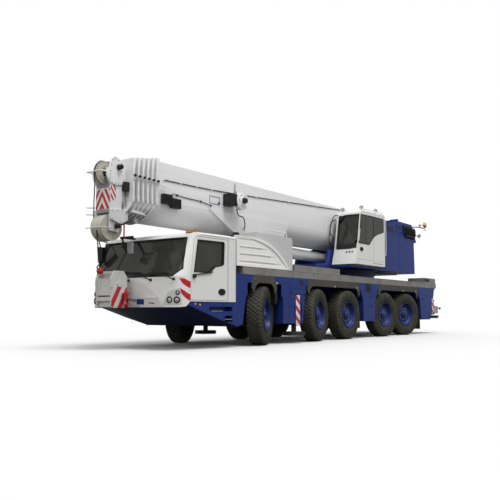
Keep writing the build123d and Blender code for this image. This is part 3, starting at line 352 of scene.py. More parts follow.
# hook block: white with red bands low on its left cheek, a red hook beside it and a red socket before it
def hookMaterial():
    board = Board("hookBlock")
    hook = (board.y > 0.10) * (board.z < 1.20)
    socket = (board.x > 7.625) * (board.z < 1.68)
    rope = board.z > 1.66
    cheek = (board.y > 0.071) * (board.z < 1.27) * (board.x < 7.60)
    lean = ((board.x + board.z * 0.55) / 0.235 + 0.35).part() > 0.5
    base = board.mix(cheek * lean, (0.55, 0.55, 0.53), signalRed)
    base = board.mix((hook + socket).least(1.0), base, (0.42, 0.010, 0.013))
    base = board.mix(rope, base, (0.03, 0.028, 0.026))
    wear = (board.noise(16.0, 4.0, 0.7) - 0.5).most(0.0) * 1.4
    base = board.mix(wear, base, (0.10, 0.09, 0.08))
    return board.surface(base, 0.45 + 0.2 * wear, 0.0, board.bump(board.noise(70.0), 0.1, 0.002))


# knuckle and axle steel, greasy in places
def steelMaterial():
    board = Board("darkSteel")
    grease = board.noise(9.0, 4.0, 0.7)
    dust = (board.noise(5.0, 5.0, 0.7) - 0.4).most(0.0) * (1.0 - board.z.ramp(0.2, 1.2))
    base = board.mix(grease.ramp(0.4, 0.7), (0.013, 0.016, 0.026), (0.028, 0.028, 0.030))
    base = board.mix(dust, base, road)
    return board.surface(base, 0.55 - 0.2 * grease + 0.3 * dust, 0.25, board.bump(grease, 0.25, 0.003))


# rope sheaves of pale cast nylon
def castMaterial():
    board = Board("castNylon")
    clouds = board.noise(12.0, 4.0, 0.6)
    base = board.mix(clouds.ramp(0.35, 0.75), (0.62, 0.58, 0.47), (0.44, 0.41, 0.33))
    return board.surface(base, 0.5 + 0.1 * clouds, 0.0, board.bump(clouds, 0.15, 0.003))


# each finish by its name, with a slot name from the record beside it
finishes = {
    "blue": (paint("bluePaint", blue, coat=0.05, grime=0.14, gloss=0.25), "blue_paint"),
    "white": (paint("whitePaint", white, grime=0.12, vary=0.05, dustTop=1.1), "white_paint"),
    "boom": (boomMaterial(), "white_paint"),
    "cabinet": (cabinetMaterial(), "white_paint"),
    "deck": (deckMaterial(), "grey_deck"),
    "guard": (grained("guardPlastic", (0.058, 0.056, 0.050), 0.6, 220.0, 0.3), "dark_grey"),
    "black": (grained("blackPlastic", (0.012, 0.012, 0.012), 0.5, 260.0, 0.12), "black_trim"),
    "glass": (glassMaterial(), "tinted_glass"),
    "rubber": (grained("tyreRubber", (0.031, 0.032, 0.024), 0.82, 160.0, 0.35, 0.2), "tyre_rubber"),
    "tread": (grained("treadRubber", (0.066, 0.064, 0.051), 0.85, 120.0, 0.6, 0.2), "tyre_rubber"),
    "steel": (steelMaterial(), "dark_steel"),
    "chrome": (metal("chromeRod", (0.62, 0.62, 0.64), 0.16, 1.0, 0.03), "chrome_rod"),
    "bolt": (metal("bareBolts", (0.42, 0.42, 0.42), 0.35, 0.9), "chrome_rod"),
    "mirror": (lensMaterial("mirrorGlass", (0.52, 0.55, 0.60), 0.08, 0.9, 0.5), "chrome_rod"),
    "red": (paint("redPaint", signalRed, grime=0.1), "red_paint"),
    "amber": (lensMaterial("amberLens", (0.80, 0.42, 0.02), 0.2, 0.0, 500.0), "red_paint"),
    "lens": (lensMaterial("clearLens", (0.62, 0.64, 0.64), 0.15, 0.2, 420.0), "white_paint"),
    "grey": (paint("greyPaint", (0.33, 0.335, 0.34), grime=0.1), "white_paint"),
    "pale": (paint("palePlastic", (0.56, 0.56, 0.54), rough=0.45, grime=0.15), "white_paint"),
    "cream": (castMaterial(), "white_paint"),
    "rope": (ropeMaterial(), "dark_steel"),
    "hook": (hookMaterial(), "red_paint"),
    "wood": (grained("plainWood", (0.30, 0.17, 0.08), 0.7, 60.0, 0.1), "dark_grey"),
    "bands": (stripeMaterial(), "red_paint"),
}
slotFinish = {
    "blue_paint": "blue",
    "white_paint": "white",
    "grey_deck": "deck",
    "dark_grey": "guard",
    "black_trim": "black",
    "tinted_glass": "glass",
    "tyre_rubber": "rubber",
    "dark_steel": "steel",
    "chrome_rod": "chrome",
    "red_paint": "hook",
}
for part in frame["record"]["subparts"]:
    finish = "boom" if part["node"].startswith("boom") else slotFinish[part["material_slot"]]
    finish = "cabinet" if part["node"] == "deck_housings" else finish
    data = nodes[part["node"]].data
    data.materials.clear()
    data.materials.append(finishes[finish][0])
print("materials made")


# mesh building: a shape is an array of points and a list of faces
def lattice(points, wrapRows=False, wrapColumns=False):
    points = np.asarray(points, float)
    rows, columns = points.shape[:2]
    down = np.arange(rows if wrapRows else rows - 1)
    over = np.arange(columns if wrapColumns else columns - 1)
    r, c = np.meshgrid(down, over, indexing="ij")
    r2, c2 = (r + 1) % rows, (c + 1) % columns
    corners = [r * columns + c, r * columns + c2, r2 * columns + c2, r2 * columns + c]
    return points.reshape(-1, 3), np.stack(corners, axis=-1).reshape(-1, 4).tolist()


# closed solid between two outlines with as many points each
def skinned(first, second):
    first, second = np.asarray(first, float), np.asarray(second, float)
    count = len(first)
    points, faces = lattice(np.stack([first, second]), wrapColumns=True)
    return points, faces + [list(range(count))[::-1], list(range(count, 2 * count))]


# plate whose outline lies square to an axis: stations and heights for y, widths and heights for x
def plate(outline, low, high, axis="y"):
    order = {"x": (1, 2, 0), "y": (0, 2, 1)}[axis]
    ends = []
    for level in (low, high):
        corners = np.zeros((len(outline), 3))
        corners[:, order[0]] = [point[0] for point in outline]
        corners[:, order[1]] = [point[1] for point in outline]
        corners[:, order[2]] = level
        ends.append(corners)
    return skinned(*ends)


def bar(x0, x1, y0, y1, z0, z1):
    return plate([(x0, z0), (x1, z0), (x1, z1), (x0, z1)], y0, y1)


# body turned about the line through a point: the profile gives distance along it and radius
def turned(profile, centre, direction=(0, 1, 0), count=32):
    direction = np.asarray(direction, float) / np.linalg.norm(direction)
    helper = np.array([0.0, 0, 1]) if abs(direction[2]) < 0.9 else np.array([1.0, 0, 0])
    first = np.cross(helper, direction)
    first /= np.linalg.norm(first)
    second = np.cross(direction, first)
    angle = np.linspace(0, 2 * math.pi, count, endpoint=False)[:, None]
    spokes = np.cos(angle) * first + np.sin(angle) * second
    profile = np.asarray(profile, float)
    reach, radii = profile[:, 0, None, None], profile[:, 1, None, None]
    points = np.asarray(centre, float) + reach * direction + radii * spokes
    return lattice(points, wrapColumns=True)


# round bar carried along a path of points, with flat ends
def tube(path, radius, count=10):
    path = np.asarray(path, float)
    ahead = np.gradient(path, axis=0)
    ahead /= np.linalg.norm(ahead, axis=1, keepdims=True)
    side = np.cross(ahead[0], (0.0, 0.3, 1.0))
    rings = []
    angle = np.linspace(0, 2 * math.pi, count, endpoint=False)[:, None]
    for point, way in zip(path, ahead):
        side = side - way * np.dot(side, way)
        side /= np.linalg.norm(side)
        rings.append(point + radius * (np.cos(angle) * side + np.sin(angle) * np.cross(way, side)))
    points, faces = lattice(rings, wrapColumns=True)
    last = len(points) - count
    return points, faces + [list(range(count))[::-1], list(range(last, last + count))]


# smooth path through a few points: each run bends towards the next by the Catmull-Rom rule
def smooth(points, steps):
    points = np.asarray(points, float)
    padded = np.vstack([2 * points[0] - points[1], points, 2 * points[-1] - points[-2]])
    found = []
    for a, b, c, d in zip(padded, padded[1:], padded[2:], padded[3:]):
        for t in np.arange(steps) / steps:
            bend = 2 * b + (c - a) * t + (2 * a - 5 * b + 4 * c - d) * t**2
            found.append(0.5 * (bend + (3 * b - a - 3 * c + d) * t**3))
    return np.array(found + [points[-1]])


# round bar along a smoothed path
def bent(path, radius, count=8, steps=6):
    return tube(smooth(path, steps), radius, count)


# thin straight line on a skin between two places
def seam(start, end, radius=0.004, count=8):
    return tube(np.linspace(start, end, count), radius, 6)


# low round boss on a face
def puck(place, direction, radius, height, count=12):
    return turned([(0, 0), (0, radius), (height, radius), (height, 0)], place, direction, count)


def mirrored(shape):
    return shape[0] * (1, -1, 1), [list(face)[::-1] for face in shape[1]]


def bothSides(shapes):
    return shapes + [mirrored(shape) for shape in shapes]


# one object from shapes in stations, riding on a body
def makePiece(name, body, shapes, finish, bevel=0.0, crease=35.0):
    points = np.vstack([shape[0] for shape in shapes]) + (axleX, 0, 0)
    start, faces = 0, []
    for shape in shapes:
        faces += [[corner + start for corner in face] for face in shape[1]]
        start += len(shape[0])
    mesh = bpy.data.meshes.new(name)
    mesh.from_pydata(points.tolist(), [], faces)
    build = bmesh.new()
    build.from_mesh(mesh)
    bmesh.ops.remove_doubles(build, verts=build.verts, dist=1e-5)
    bmesh.ops.recalc_face_normals(build, faces=build.faces)
    build.to_mesh(mesh)
    build.free()
    mesh.shade_smooth()
    mesh.set_sharp_from_angle(angle=math.radians(crease))
    material, slot = finishes[finish]
    mesh.materials.append(material)
    piece = bpy.data.objects.new(name, mesh)
    bpy.context.scene.collection.objects.link(piece)
    if bevel:
        modifier = piece.modifiers.new("bevel", "BEVEL")
        modifier.width, modifier.segments, modifier.limit_method = bevel, 2, "ANGLE"
        modifier.angle_limit = math.radians(crease)
    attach(piece, body)
    return piece


# wheels: distances along the axle from the wheel's middle, outward, and radii
tyre = {
    "wall": [(0.125, 0.328), (0.140, 0.350), (0.152, 0.362), (0.160, 0.372), (0.170, 0.400), (0.182, 0.440)],
    "bulge": [(0.190, 0.480), (0.1925, 0.520), (0.192, 0.545), (0.189, 0.556), (0.189, 0.572),
              (0.184, 0.600)],
    "shoulder": [(0.176, 0.628), (0.166, 0.648), (0.150, 0.662), (0.080, 0.668), (0.0, 0.669)],
    "top": 0.684,
    "rows": [(-0.150, -0.092), (-0.082, -0.030), (-0.021, 0.021), (0.030, 0.082), (0.092, 0.150)],
    "blocks": 44,
}


# one tread block between two widths and two angles, slanted, with its foot inside the tyre
def treadBlock(low, high, start, end, slant):
    points = []
    for radius, shrink in ((0.655, 0.0), (tyre["top"], 0.10)):
        inset, turn = (high - low) * shrink, (end - start) * shrink
        widths, angles = (low + inset, high - inset), (start + turn, end - turn)
        for width, angle in ((widths[0], angles[0]), (widths[1], angles[0]),
                             (widths[1], angles[1]), (widths[0], angles[1])):
            crown = 0.35 * max(0.0, abs(width) - 0.10) ** 2 * 9
            points.append((width, radius - crown, angle + slant * (width - low)))
    return points


# wheel coordinates (width, radius, angle) to places
def aboutAxle(points, centre, outward):
    points = np.asarray(points, float)
    outward = np.asarray(outward, float)
    ahead = np.cross((0, 0, 1.0), outward)
    ahead /= np.linalg.norm(ahead)
    up = np.cross(outward, ahead)
    width, radius, angle = points[..., 0:1], points[..., 1:2], points[..., 2:3]
    return np.asarray(centre) + width * outward + radius * (np.cos(angle) * ahead + np.sin(angle) * up)


def tyreShapes(centre, outward):
    half = tyre["wall"] + tyre["bulge"] + tyre["shoulder"]
    loop = half + [(-w, r) for w, r in half[-2::-1]] + [half[0]]
    return [turned(loop, centre, outward, 96)]


def treadShapes(centre, outward):
    shapes = []
    quads = [(0, 1, 2, 3), (4, 5, 6, 7), (0, 1, 5, 4), (1, 2, 6, 5), (2, 3, 7, 6), (3, 0, 4, 7)]
    pitch = 2 * math.pi / tyre["blocks"]
    for row, (low, high) in enumerate(tyre["rows"]):
        for count in range(tyre["blocks"]):
            start = (count + 0.5 * (row % 2)) * pitch
            corners = treadBlock(low, high, start, start + 0.70 * pitch, 0.5 if row < 3 else -0.5)
            shapes.append((aboutAxle(corners, centre, outward), [list(face) for face in quads]))
    # lugs that run down both shoulders
    for side in sides:
        for count in range(tyre["blocks"]):
            start = (count + 0.25) * pitch
            corners = []
            for width, radius in ((0.150, 0.672), (0.176, 0.645), (0.186, 0.605), (0.176, 0.600),
                                  (0.140, 0.655)):
                corners.append((side * width, radius))
            ends = [[(w, r, angle) for w, r in corners] for angle in (start, start + 0.5 * pitch)]
            points, faces = skinned(*ends)
            shapes.append((aboutAxle(points, centre, outward), faces))
    return shapes


rim = {
    "dish": [(0.160, 0.352), (0.172, 0.362), (0.178, 0.356), (0.174, 0.344), (0.160, 0.336), (0.120, 0.328)],
    "well": [(0.088, 0.314), (0.066, 0.286), (0.052, 0.250), (0.050, 0.225), (0.056, 0.205), (0.060, 0.165)],
    "hub": [(0.062, 0.150), (0.066, 0.138), (0.110, 0.130), (0.116, 0.124), (0.118, 0.088), (0.124, 0.084)],
    "cap": [(0.146, 0.080), (0.152, 0.072), (0.154, 0.0)],
    "back": [(-0.130, 0.0), (-0.130, 0.200), (-0.128, 0.330), (-0.160, 0.352)],
    # how many, their radius and their width
    "bolts": (22, 0.185, 0.055),
    "capBolts": (10, 0.107, 0.116),
    "holes": (10, 0.262, 0.0555),
}


# places on a circle about the axle, turned by a share of the step between them
def circle(pattern, centre, outward, offset=0.0):
    count, radius, width = pattern
    angles = [(turn + offset) * 2 * math.pi / count for turn in range(count)]
    return [aboutAxle([(width, radius, angle)], centre, outward)[0] for angle in angles]


def rimShapes(centre, outward):
    loop = rim["back"] + rim["dish"] + rim["well"] + rim["hub"] + rim["cap"]
    return [turned(loop, centre, outward, 72)]


# bolt: washer, six-sided nut and rounded end, along the outward direction
def boltShape(centre, direction, radius, reach):
    washer = turned([(0, 0), (0, radius * 1.25), (reach * 0.15, radius * 1.25), (reach * 0.15, 0)], centre,
                    direction, 12)
    nut = turned([(0, 0), (0, radius), (reach * 0.7, radius), (reach * 0.8, radius * 0.75),
                  (reach * 0.8, 0)], centre, direction, 6)
    stem = [(0, 0), (0, radius * 0.5), (reach, radius * 0.5), (reach * 1.08, radius * 0.3), (reach * 1.1, 0)]
    return [washer, nut, turned(stem, centre, direction, 8)]


def wheelPieces():
    for axle in range(1, 6):
        for letter, side in (("L", 1), ("R", -1)):
            tag = f"{axle}{letter}"
            joint = joints[f"spin_{tag}"]
            centre = np.asarray(joint["pos_m"], float) - (axleX, 0, 0)
            outward = np.asarray(joint["axis"], float) * side
            body = joint["child"]
            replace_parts(makePiece(f"tyre.{tag}", body, tyreShapes(centre, outward), "rubber", crease=28),
                        f"tyre_{tag}")
            makePiece(f"tread.{tag}", body, treadShapes(centre, outward), "tread", crease=28)
            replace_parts(makePiece(f"rim.{tag}", body, rimShapes(centre, outward), "blue", crease=30),
                        f"rim_{tag}")
            bolts = []
            for place in circle(rim["bolts"], centre, outward):
                bolts += boltShape(place, outward, 0.012, 0.035)
            for place in circle(rim["capBolts"], centre, outward):
                bolts += boltShape(place, outward, 0.008, 0.014)
            # painted shade: black discs on the dish in place of its vent holes
            dark = [puck(place, outward, 0.024, 0.004, 16)
                    for place in circle(rim["holes"], centre, outward, 0.5)]
            makePiece(f"rimBolts.{tag}", body, bolts, "bolt")
            makePiece(f"rimVentShades.{tag}", body, dark, "black")


wheelPieces()
print("wheels made")


# front of the driver's cab: a rounded nose below the windscreen, and a leaning screen above its foot
cab = {
    "sideEnd": 6.670,
    # each corner's arc by its middle's width, radius and sweep; the crown by its middle's station and radius
    "corner": (1.115, 0.26, 82.0),
    "crown": (0.5161, 6.5139),
    "screenFoot": 7.03,
    "foot": 1.480,
    "lean": 0.463,
    "screenTop": 2.420,
    "upperSide": 6.560,
    "upperCorner": 0.11,
}


# station of the nose's skin at a width; on the corner's arc or the crown between the corners
def noseX(y):
    middle, radius, sweep = cab["corner"]
    edge = middle + radius * math.cos(math.radians(sweep))
    y = abs(y)
    if y > edge:
        return cab["sideEnd"] + math.sqrt(max(radius**2 - (y - middle) ** 2, 0.0))
    start, reach = cab["crown"]
    return start + math.sqrt(reach**2 - y**2)


# station of the cab's front at a width and height: the plan narrows from the nose to the screen's top
def frontX(y, z):
    share = min(max((z - cab["foot"]) / (cab["screenTop"] - cab["foot"]), 0.0), 1.0)
    flat = cab["screenFoot"] - cab["lean"] * (z - cab["foot"])
    top = cab["upperSide"] if abs(y) > halfWidth - cab["upperCorner"] else math.inf
    nose = noseX(y)
    if share == 0.0:
        return nose
    lowLine = nose - cab["lean"] * (z - cab["foot"])
    return min(lowLine, flat) * (1 - share) + min(flat, top) * share


# outward direction of the nose's skin at a width
def noseFacing(y):
    step = 0.01
    slope = (noseX(y + step) - noseX(y - step)) / (2 * step)
    return np.array([1.0, -slope, 0.0]) / math.hypot(1.0, slope)


# plate laid on the nose: outline in widths and heights, filled as strips across its width, raised by lift
def nosePlate(outline, lift, columns=14, depth=0.02):
    outline = np.asarray(outline, float)
    ys = np.linspace(outline[:, 0].min() + 1e-4, outline[:, 0].max() - 1e-4, columns)
    grids = {level: [] for level in (lift, lift - depth)}
    for y in ys:
        heights = []
        for a, b in zip(outline, np.roll(outline, -1, axis=0)):
            if (a[0] - y) * (b[0] - y) <= 0 and a[0] != b[0]:
                heights.append(a[1] + (b[1] - a[1]) * (y - a[0]) / (b[0] - a[0]))
        facing = noseFacing(y)
        for level, rows in grids.items():
            ends = [np.array([frontX(y, z), y, z]) + facing * level for z in (min(heights), max(heights))]
            rows.append(ends)
    front, back = (np.array(grids[level]) for level in (lift, lift - depth))
    rings = np.concatenate([front, back[:, ::-1]], axis=1)
    points, faces = lattice(rings, wrapColumns=True)
    last = len(points) - 4
    return points, faces + [[0, 1, 2, 3], list(range(last, last + 4))[::-1]]


# lamp sunk into the nose: ring, reflector bowl and domed lens along the skin's facing
def lampShapes(y, z, radius):
    facing = noseFacing(y)
    place = np.array([frontX(y, z), y, z])
    ring = [(0.0, radius), (0.012, radius), (0.016, radius * 0.92), (0.010, radius * 0.62),
            (0.004, radius * 0.56)]
    lens = [(0.003, radius * 0.60), (0.008, radius * 0.50), (0.012, radius * 0.30), (0.013, 0.0)]
    core = [(0.0125, radius * 0.28), (0.016, radius * 0.24), (0.017, 0.0)]
    shapes = {"black": [turned(ring, place, facing, 40)], "lens": [turned(lens, place, facing, 40)]}
    shapes["mirror"] = [turned(core, place, facing, 24)]
    return shapes


nose = {
    "lamps": [(1.046, 1.011, 0.068), (1.212, 1.008, 0.068), (1.225, 1.150, 0.046)],
    "lampPanel": [(0.875, 0.915), (0.990, 1.155), (1.020, 1.170), (1.262, 1.250), (1.292, 1.240),
                  (1.300, 0.925)],
    "plateRecess": [(0.235, 0.864), (0.437, 1.058), (0.757, 1.055), (0.861, 0.863)],
    "plateLip": [(0.430, 1.052), (0.437, 1.066), (0.760, 1.064), (0.757, 1.050)],
    "bluePatch": [(0.205, 0.925), (0.205, 1.035), (0.405, 1.030), (0.405, 0.918)],
    "blueBar": [(0.530, 0.945), (0.530, 0.966), (0.675, 0.950), (0.675, 0.930)],
    "upperBand": [(1.250, 1.440), (1.300, 1.340), (1.374, 1.245), (1.374, 1.375), (1.330, 1.430)],
    "lowerBand": [(1.255, 1.250), (1.285, 1.140), (1.374, 0.995), (1.374, 1.120), (1.325, 1.195)],
    "seamZ": 0.86,
}


def nosePieces():
    panel = [nosePlate(nose["lampPanel"], 0.006)]
    makePiece("lampPanels", "carrier", bothSides(panel), "pale", 0.003)
    gathered = {}
    for y, z, radius in nose["lamps"]:
        for finish, shapes in lampShapes(y, z, radius).items():
            gathered.setdefault(finish, []).extend(bothSides(shapes))
    for finish, shapes in gathered.items():
        makePiece(f"headLamps.{finish}", "carrier", shapes, finish)
    makePiece("plateRecess", "carrier", [nosePlate(nose["plateRecess"], 0.0015)], "pale")
    makePiece("plateLip", "carrier", [nosePlate(nose["plateLip"], 0.008)], "white", 0.002)
    patches = [nosePlate(nose[key], 0.004) for key in ("bluePatch", "blueBar")]
    makePiece("plateMarks", "carrier", patches, "blue")
    red = [nosePlate(nose[key], 0.003, depth=0.004) for key in ("upperBand", "lowerBand")]
    makePiece("cornerBands", "carrier", bothSides(red), "red")
    # seam between the nose and the apron
    path = [np.array([noseX(y), y, nose["seamZ"]]) + noseFacing(y) * 0.001
            for y in np.linspace(-1.30, 1.30, 60)]
    makePiece("noseSeam", "carrier", [tube(path, 0.005, 6)], "black")


nosePieces()
print("nose made")


# point on the cab's front at a width and height, lifted forward off its skin
def screenPoint(y, z, lift=0.0):
    return np.array([frontX(y, z) + lift, y, z])


wiper = {
    "pivots": [(-0.038, 1.419), (0.576, 1.417), (1.140, 1.423)],
    "elbows": [(-0.326, 1.574), (0.391, 1.483), (0.948, 1.490)],
    "blades": [((-0.345, 1.590), (0.330, 1.558)), ((0.060, 1.535), (0.640, 1.520)),
               ((0.500, 1.552), (1.010, 1.535))],
}


def wiperPieces():
    shapes = []
    for pivot, elbow, (start, end) in zip(wiper["pivots"], wiper["elbows"], wiper["blades"]):
        facing = noseFacing(pivot[0])
        boss = [(0, 0), (0, 0.030), (0.030, 0.026), (0.040, 0.014), (0.042, 0)]
        shapes.append(turned(boss, screenPoint(*pivot), facing, 20))
        path = [screenPoint(*pivot, 0.032), screenPoint(*elbow, 0.040),
                screenPoint(start[0], start[1], 0.030)]
        shapes.append(tube(smooth(path, 4), 0.010, 8))
        blade = [screenPoint(y, z, 0.020) for y, z in np.linspace(start, end, 12)]
        shapes.append(tube(blade, 0.012, 6))
        shapes.append(tube([point + (0.006, 0, 0.014) for point in blade], 0.006, 6))
    makePiece("wipers", "carrier", shapes, "black")


wiperPieces()


# an outline drawn out from its middle by two steps, or in where a step is negative
def border(outline, inner, outer):
    outline = np.asarray(outline, float)
    middle = outline.mean(axis=0)
    spread = np.linalg.norm(outline - middle, axis=1, keepdims=True)
    return tuple(middle + (outline - middle) * (spread + step) / spread for step in (inner, outer))


screen = {
    "outline": [(-1.110, 1.475), (1.110, 1.475), (1.290, 1.625), (1.205, 2.285), (-1.205, 2.285),
                (-1.290, 1.625)],
    "band": (-0.035, 0.004),
}
pane = {
    "outline": [(6.49, 2.235), (5.65, 2.25), (5.62, 2.22), (5.64, 1.77), (5.70, 1.74), (5.92, 1.70),
                (6.06, 1.60), (6.20, 1.575), (6.60, 1.565)],
    "faces": (1.336, 1.348),
    "band": (-0.030, 0.004),
    "handle": [(6.60, 1.390, 1.510), (6.36, 1.392, 1.548), (6.10, 1.392, 1.575), (6.02, 1.384, 1.60)],
    "foot": [(-0.02, 0), (-0.02, 0.045), (0.035, 0.045), (0.05, 0.03), (0.052, 0)],
    "lock": [(0, 0), (0, 0.070), (0.012, 0.068), (0.012, 0.056), (0.004, 0.053), (0.004, 0)],
    "lockPlace": (5.707, 1.375, 1.187),
    "grip": (5.665, 5.750, 1.376, 1.390, 1.176, 1.198),
}


# a loop of points with each side cut into short runs
def divided(outline, length):
    outline = np.asarray(outline, float)
    found = []
    for a, b in zip(outline, np.roll(outline, -1, axis=0)):
        steps = max(1, int(np.linalg.norm(b - a) / length))
        found += [a + (b - a) * t / steps for t in range(steps)]
    return np.array(found)


# ring through loops of stations and heights, each at its own width
def banded(*loops):
    return lattice([[(x, level, z) for x, z in loop] for loop, level in loops], True, True)


# stretched along the vehicle about a station, for the oval door locks
def widened(shape, x, times=1.7):
    points = shape[0].copy()
    points[:, 0] = x + (points[:, 0] - x) * times
    return points, shape[1]


def windowPieces():
    inner, outer = border(divided(screen["outline"], 0.12), *screen["band"])
    rings = []
    for loop, lift in ((outer, -0.020), (outer, 0.003), (inner, 0.003), (inner, -0.020)):
        rings.append([screenPoint(y, z, lift) for y, z in loop])
    makePiece("screenRubber", "carrier", [lattice(rings, True, True)], "black")
    low, high = pane["faces"]
    glass = plate(border(pane["outline"], -0.030, 0.006)[1], low, high)
    inner, outer = border(divided(pane["outline"], 0.10), *pane["band"])
    rubber = banded((outer, 1.340), (outer, 1.379), (inner, 1.377), (inner, 1.340))
    handle = tube(pane["handle"], 0.012, 8)
    foot = turned(pane["foot"], (6.60, 1.375, 1.490), (0, 1, 0), 24)
    lock = widened(turned(pane["lock"], pane["lockPlace"]), pane["lockPlace"][0])
    grip = bar(*pane["grip"])
    keyhole = puck((5.707, 1.376, 1.222), (0, 1, 0), 0.010, 0.018, 32)
    for letter, body in (("Left", "door_left"), ("Right", "door_right")):
        sets = ([glass], [rubber, handle, foot, lock], [grip, keyhole])
        if letter == "Right":
            sets = [[mirrored(shape) for shape in shapes] for shapes in sets]
        makePiece(f"doorGlass{letter}", body, sets[0], "glass")
        makePiece(f"doorRubber{letter}", body, sets[1], "black")
        makePiece(f"doorGrip{letter}", body, sets[2], "steel", 0.004)


windowPieces()

# outlines in widths and heights
mirrors = {
    "rightHousing": [(-1.19, 2.20), (-1.01, 2.18), (-1.03, 1.86), (-1.15, 1.84)],
    "rightArms": [[(6.56, -1.26, 2.33), (6.80, -1.25, 2.34), (6.88, -1.12, 2.20)],
                  [(6.80, -1.22, 1.70), (6.90, -1.20, 1.74), (6.88, -1.10, 1.85)]],
    "frontBack": [(-0.08, 2.235), (0.09, 2.21), (0.09, 1.965), (-0.05, 1.985)],
    "frontPole": [(7.03, -0.26, 2.31), (7.04, -0.19, 2.15), (7.05, -0.12, 2.02)],
}


def mirrorPieces():
    # black housing of the right mirror ahead of the screen's far corner, on two arms
    housing = plate(mirrors["rightHousing"], 6.80, 6.92, "x")
    glass = plate(np.array(mirrors["rightHousing"]) * 0.94 + (-0.066, 0.12), 6.79, 6.80, "x")
    arms = [bent(path, 0.014, 10) for path in mirrors["rightArms"]]
    makePiece("rightMirror", "carrier", [housing] + arms, "black", 0.02)
    makePiece("rightMirrorGlass", "carrier", [glass], "mirror")
    # front mirror that hangs from a roof bracket, and the dark pole beside it
    bracket = [bar(6.66, 7.06, -0.30, -0.24, 2.315, 2.350), bar(7.00, 7.06, -0.30, 0.06, 2.300, 2.345)]
    pole = tube(mirrors["frontPole"], 0.022)
    clamp = bar(7.01, 7.07, -0.24, -0.08, 2.10, 2.19)
    makePiece("frontMirrorArm", "carrier", bracket + [pole, clamp], "black", 0.006)
    makePiece("frontMirror", "carrier", [plate(mirrors["frontBack"], 7.03, 7.075, "x")], "grey", 0.012)
    # thin dark edge between two parts of the screen
    line = [screenPoint(-0.42 - 0.10 * t, 2.30 - 0.63 * t, 0.002) for t in np.linspace(0, 1, 8)]
    makePiece("screenSeam", "carrier", [tube(line, 0.006, 6)], "black")


mirrorPieces()


# the cab's side: seams, drip rail, roof parts, and the apron with its lamps and steps
cabSide = {
    "skin": 1.3752,
    "seams": (5.499, 5.235),
    "rail": [(6.50, 1.352, 2.300), (6.40, 1.368, 2.345), (6.10, 1.372, 2.352), (5.60, 1.372, 2.356),
             (5.26, 1.372, 2.350)],
    "bracket": [(5.02, 5.19, 1.20, 1.30, 2.38, 2.46), (5.06, 5.15, 1.22, 1.34, 2.42, 2.52)],
    "wedge": [(6.22, 2.405), (6.55, 2.385), (6.50, 2.450), (6.36, 2.472), (6.25, 2.440)],
    "lamp": [(0, 0), (0, 0.022), (0.009, 0.021), (0.014, 0.012), (0.015, 0)],
    "lamps": [(6.548, 0.928), (6.411, 0.912)],
    "steps": [(5.66, 6.02, 1.10, 1.365, 0.775, 0.795), (5.30, 5.56, 1.10, 1.365, 0.60, 0.62)],
    "apronSeam": 1.3755,
}


def cabSidePieces():
    skin = cabSide["skin"]
    seams = [seam((x, skin, 0.99), (x, skin, 2.36), 0.005, 12) for x in cabSide["seams"]]
    makePiece("cabSeams", "carrier", bothSides(seams), "grey")
    makePiece("dripRails", "carrier", bothSides([bent(cabSide["rail"], 0.011)]), "white")
    makePiece("roofBracket", "carrier", [bar(*size) for size in cabSide["bracket"]], "black", 0.01)
    # wooden wedge that lies on the roof near its front corner
    makePiece("roofWedge", "carrier", [plate(cabSide["wedge"], 1.08, 1.26)], "wood", 0.008)
    lamps = [turned(cabSide["lamp"], (x, halfWidth, z), (0, 1, 0), 20) for x, z in cabSide["lamps"]]
    makePiece("apronLamps", "carrier", bothSides(lamps), "amber")
    makePiece("cabSteps", "carrier", bothSides([bar(*size) for size in cabSide["steps"]]), "deck", 0.004)
    level = cabSide["apronSeam"]
    lines = [seam((5.26, level, 0.962), (6.70, level, 0.962), 0.004, 16),
             seam((5.66, level, 0.50), (5.66, level, 0.96), 0.003, 8)]
    makePiece("apronSeams", "carrier", bothSides(lines), "black")


cabSidePieces()


# fairing beside the engine cabinet: slats over its face and a raised edge along its arc
fairing = {
    "arc": [(5.19, 2.435), (4.95, 2.440), (4.60, 2.420), (4.20, 2.350), (3.85, 2.240), (3.55, 2.090),
            (3.28, 1.900), (3.12, 1.800)],
    "slats": [(2.215, 5.06, 4.20), (2.055, 5.06, 3.86), (1.900, 5.06, 3.66)],
    "rail": [(3.98, 1.18, 2.60), (3.98, 1.18, 2.70), (3.90, 1.18, 2.72), (3.00, 1.18, 2.72),
             (2.92, 1.18, 2.70), (2.92, 1.18, 2.60)],
}


def fairingPieces():
    arc = smooth(fairing["arc"], 6)
    rim = [tube([(x, 1.366, z) for x, z in arc], 0.014, 8)]
    makePiece("fairingEdges", "carrier", bothSides(rim), "white")
    shapes = []
    for z, front, rear in fairing["slats"]:
        for drop, radius in ((0.0, 0.010), (-0.022, 0.006)):
            path = [(x, 1.362, z + drop + 0.012 * math.sin((front - x) * 2.0))
                    for x in np.linspace(front, rear, 14)]
            shapes.append(tube(path, radius, 6))
    makePiece("fairingSlats", "carrier", bothSides(shapes), "white")
    # hand rail on the cabinet behind it
    makePiece("cabinetRail", "carrier", bothSides([bent(fairing["rail"], 0.013, steps=5)]), "white")


fairingPieces()
print("cab made")

# chain from the hook to the front plate: long links, each a bent round bar
chain = {"start": (7.32, 0.235, 1.030), "end": (7.03, 0.250, 0.985), "links": 4, "radius": 0.008}


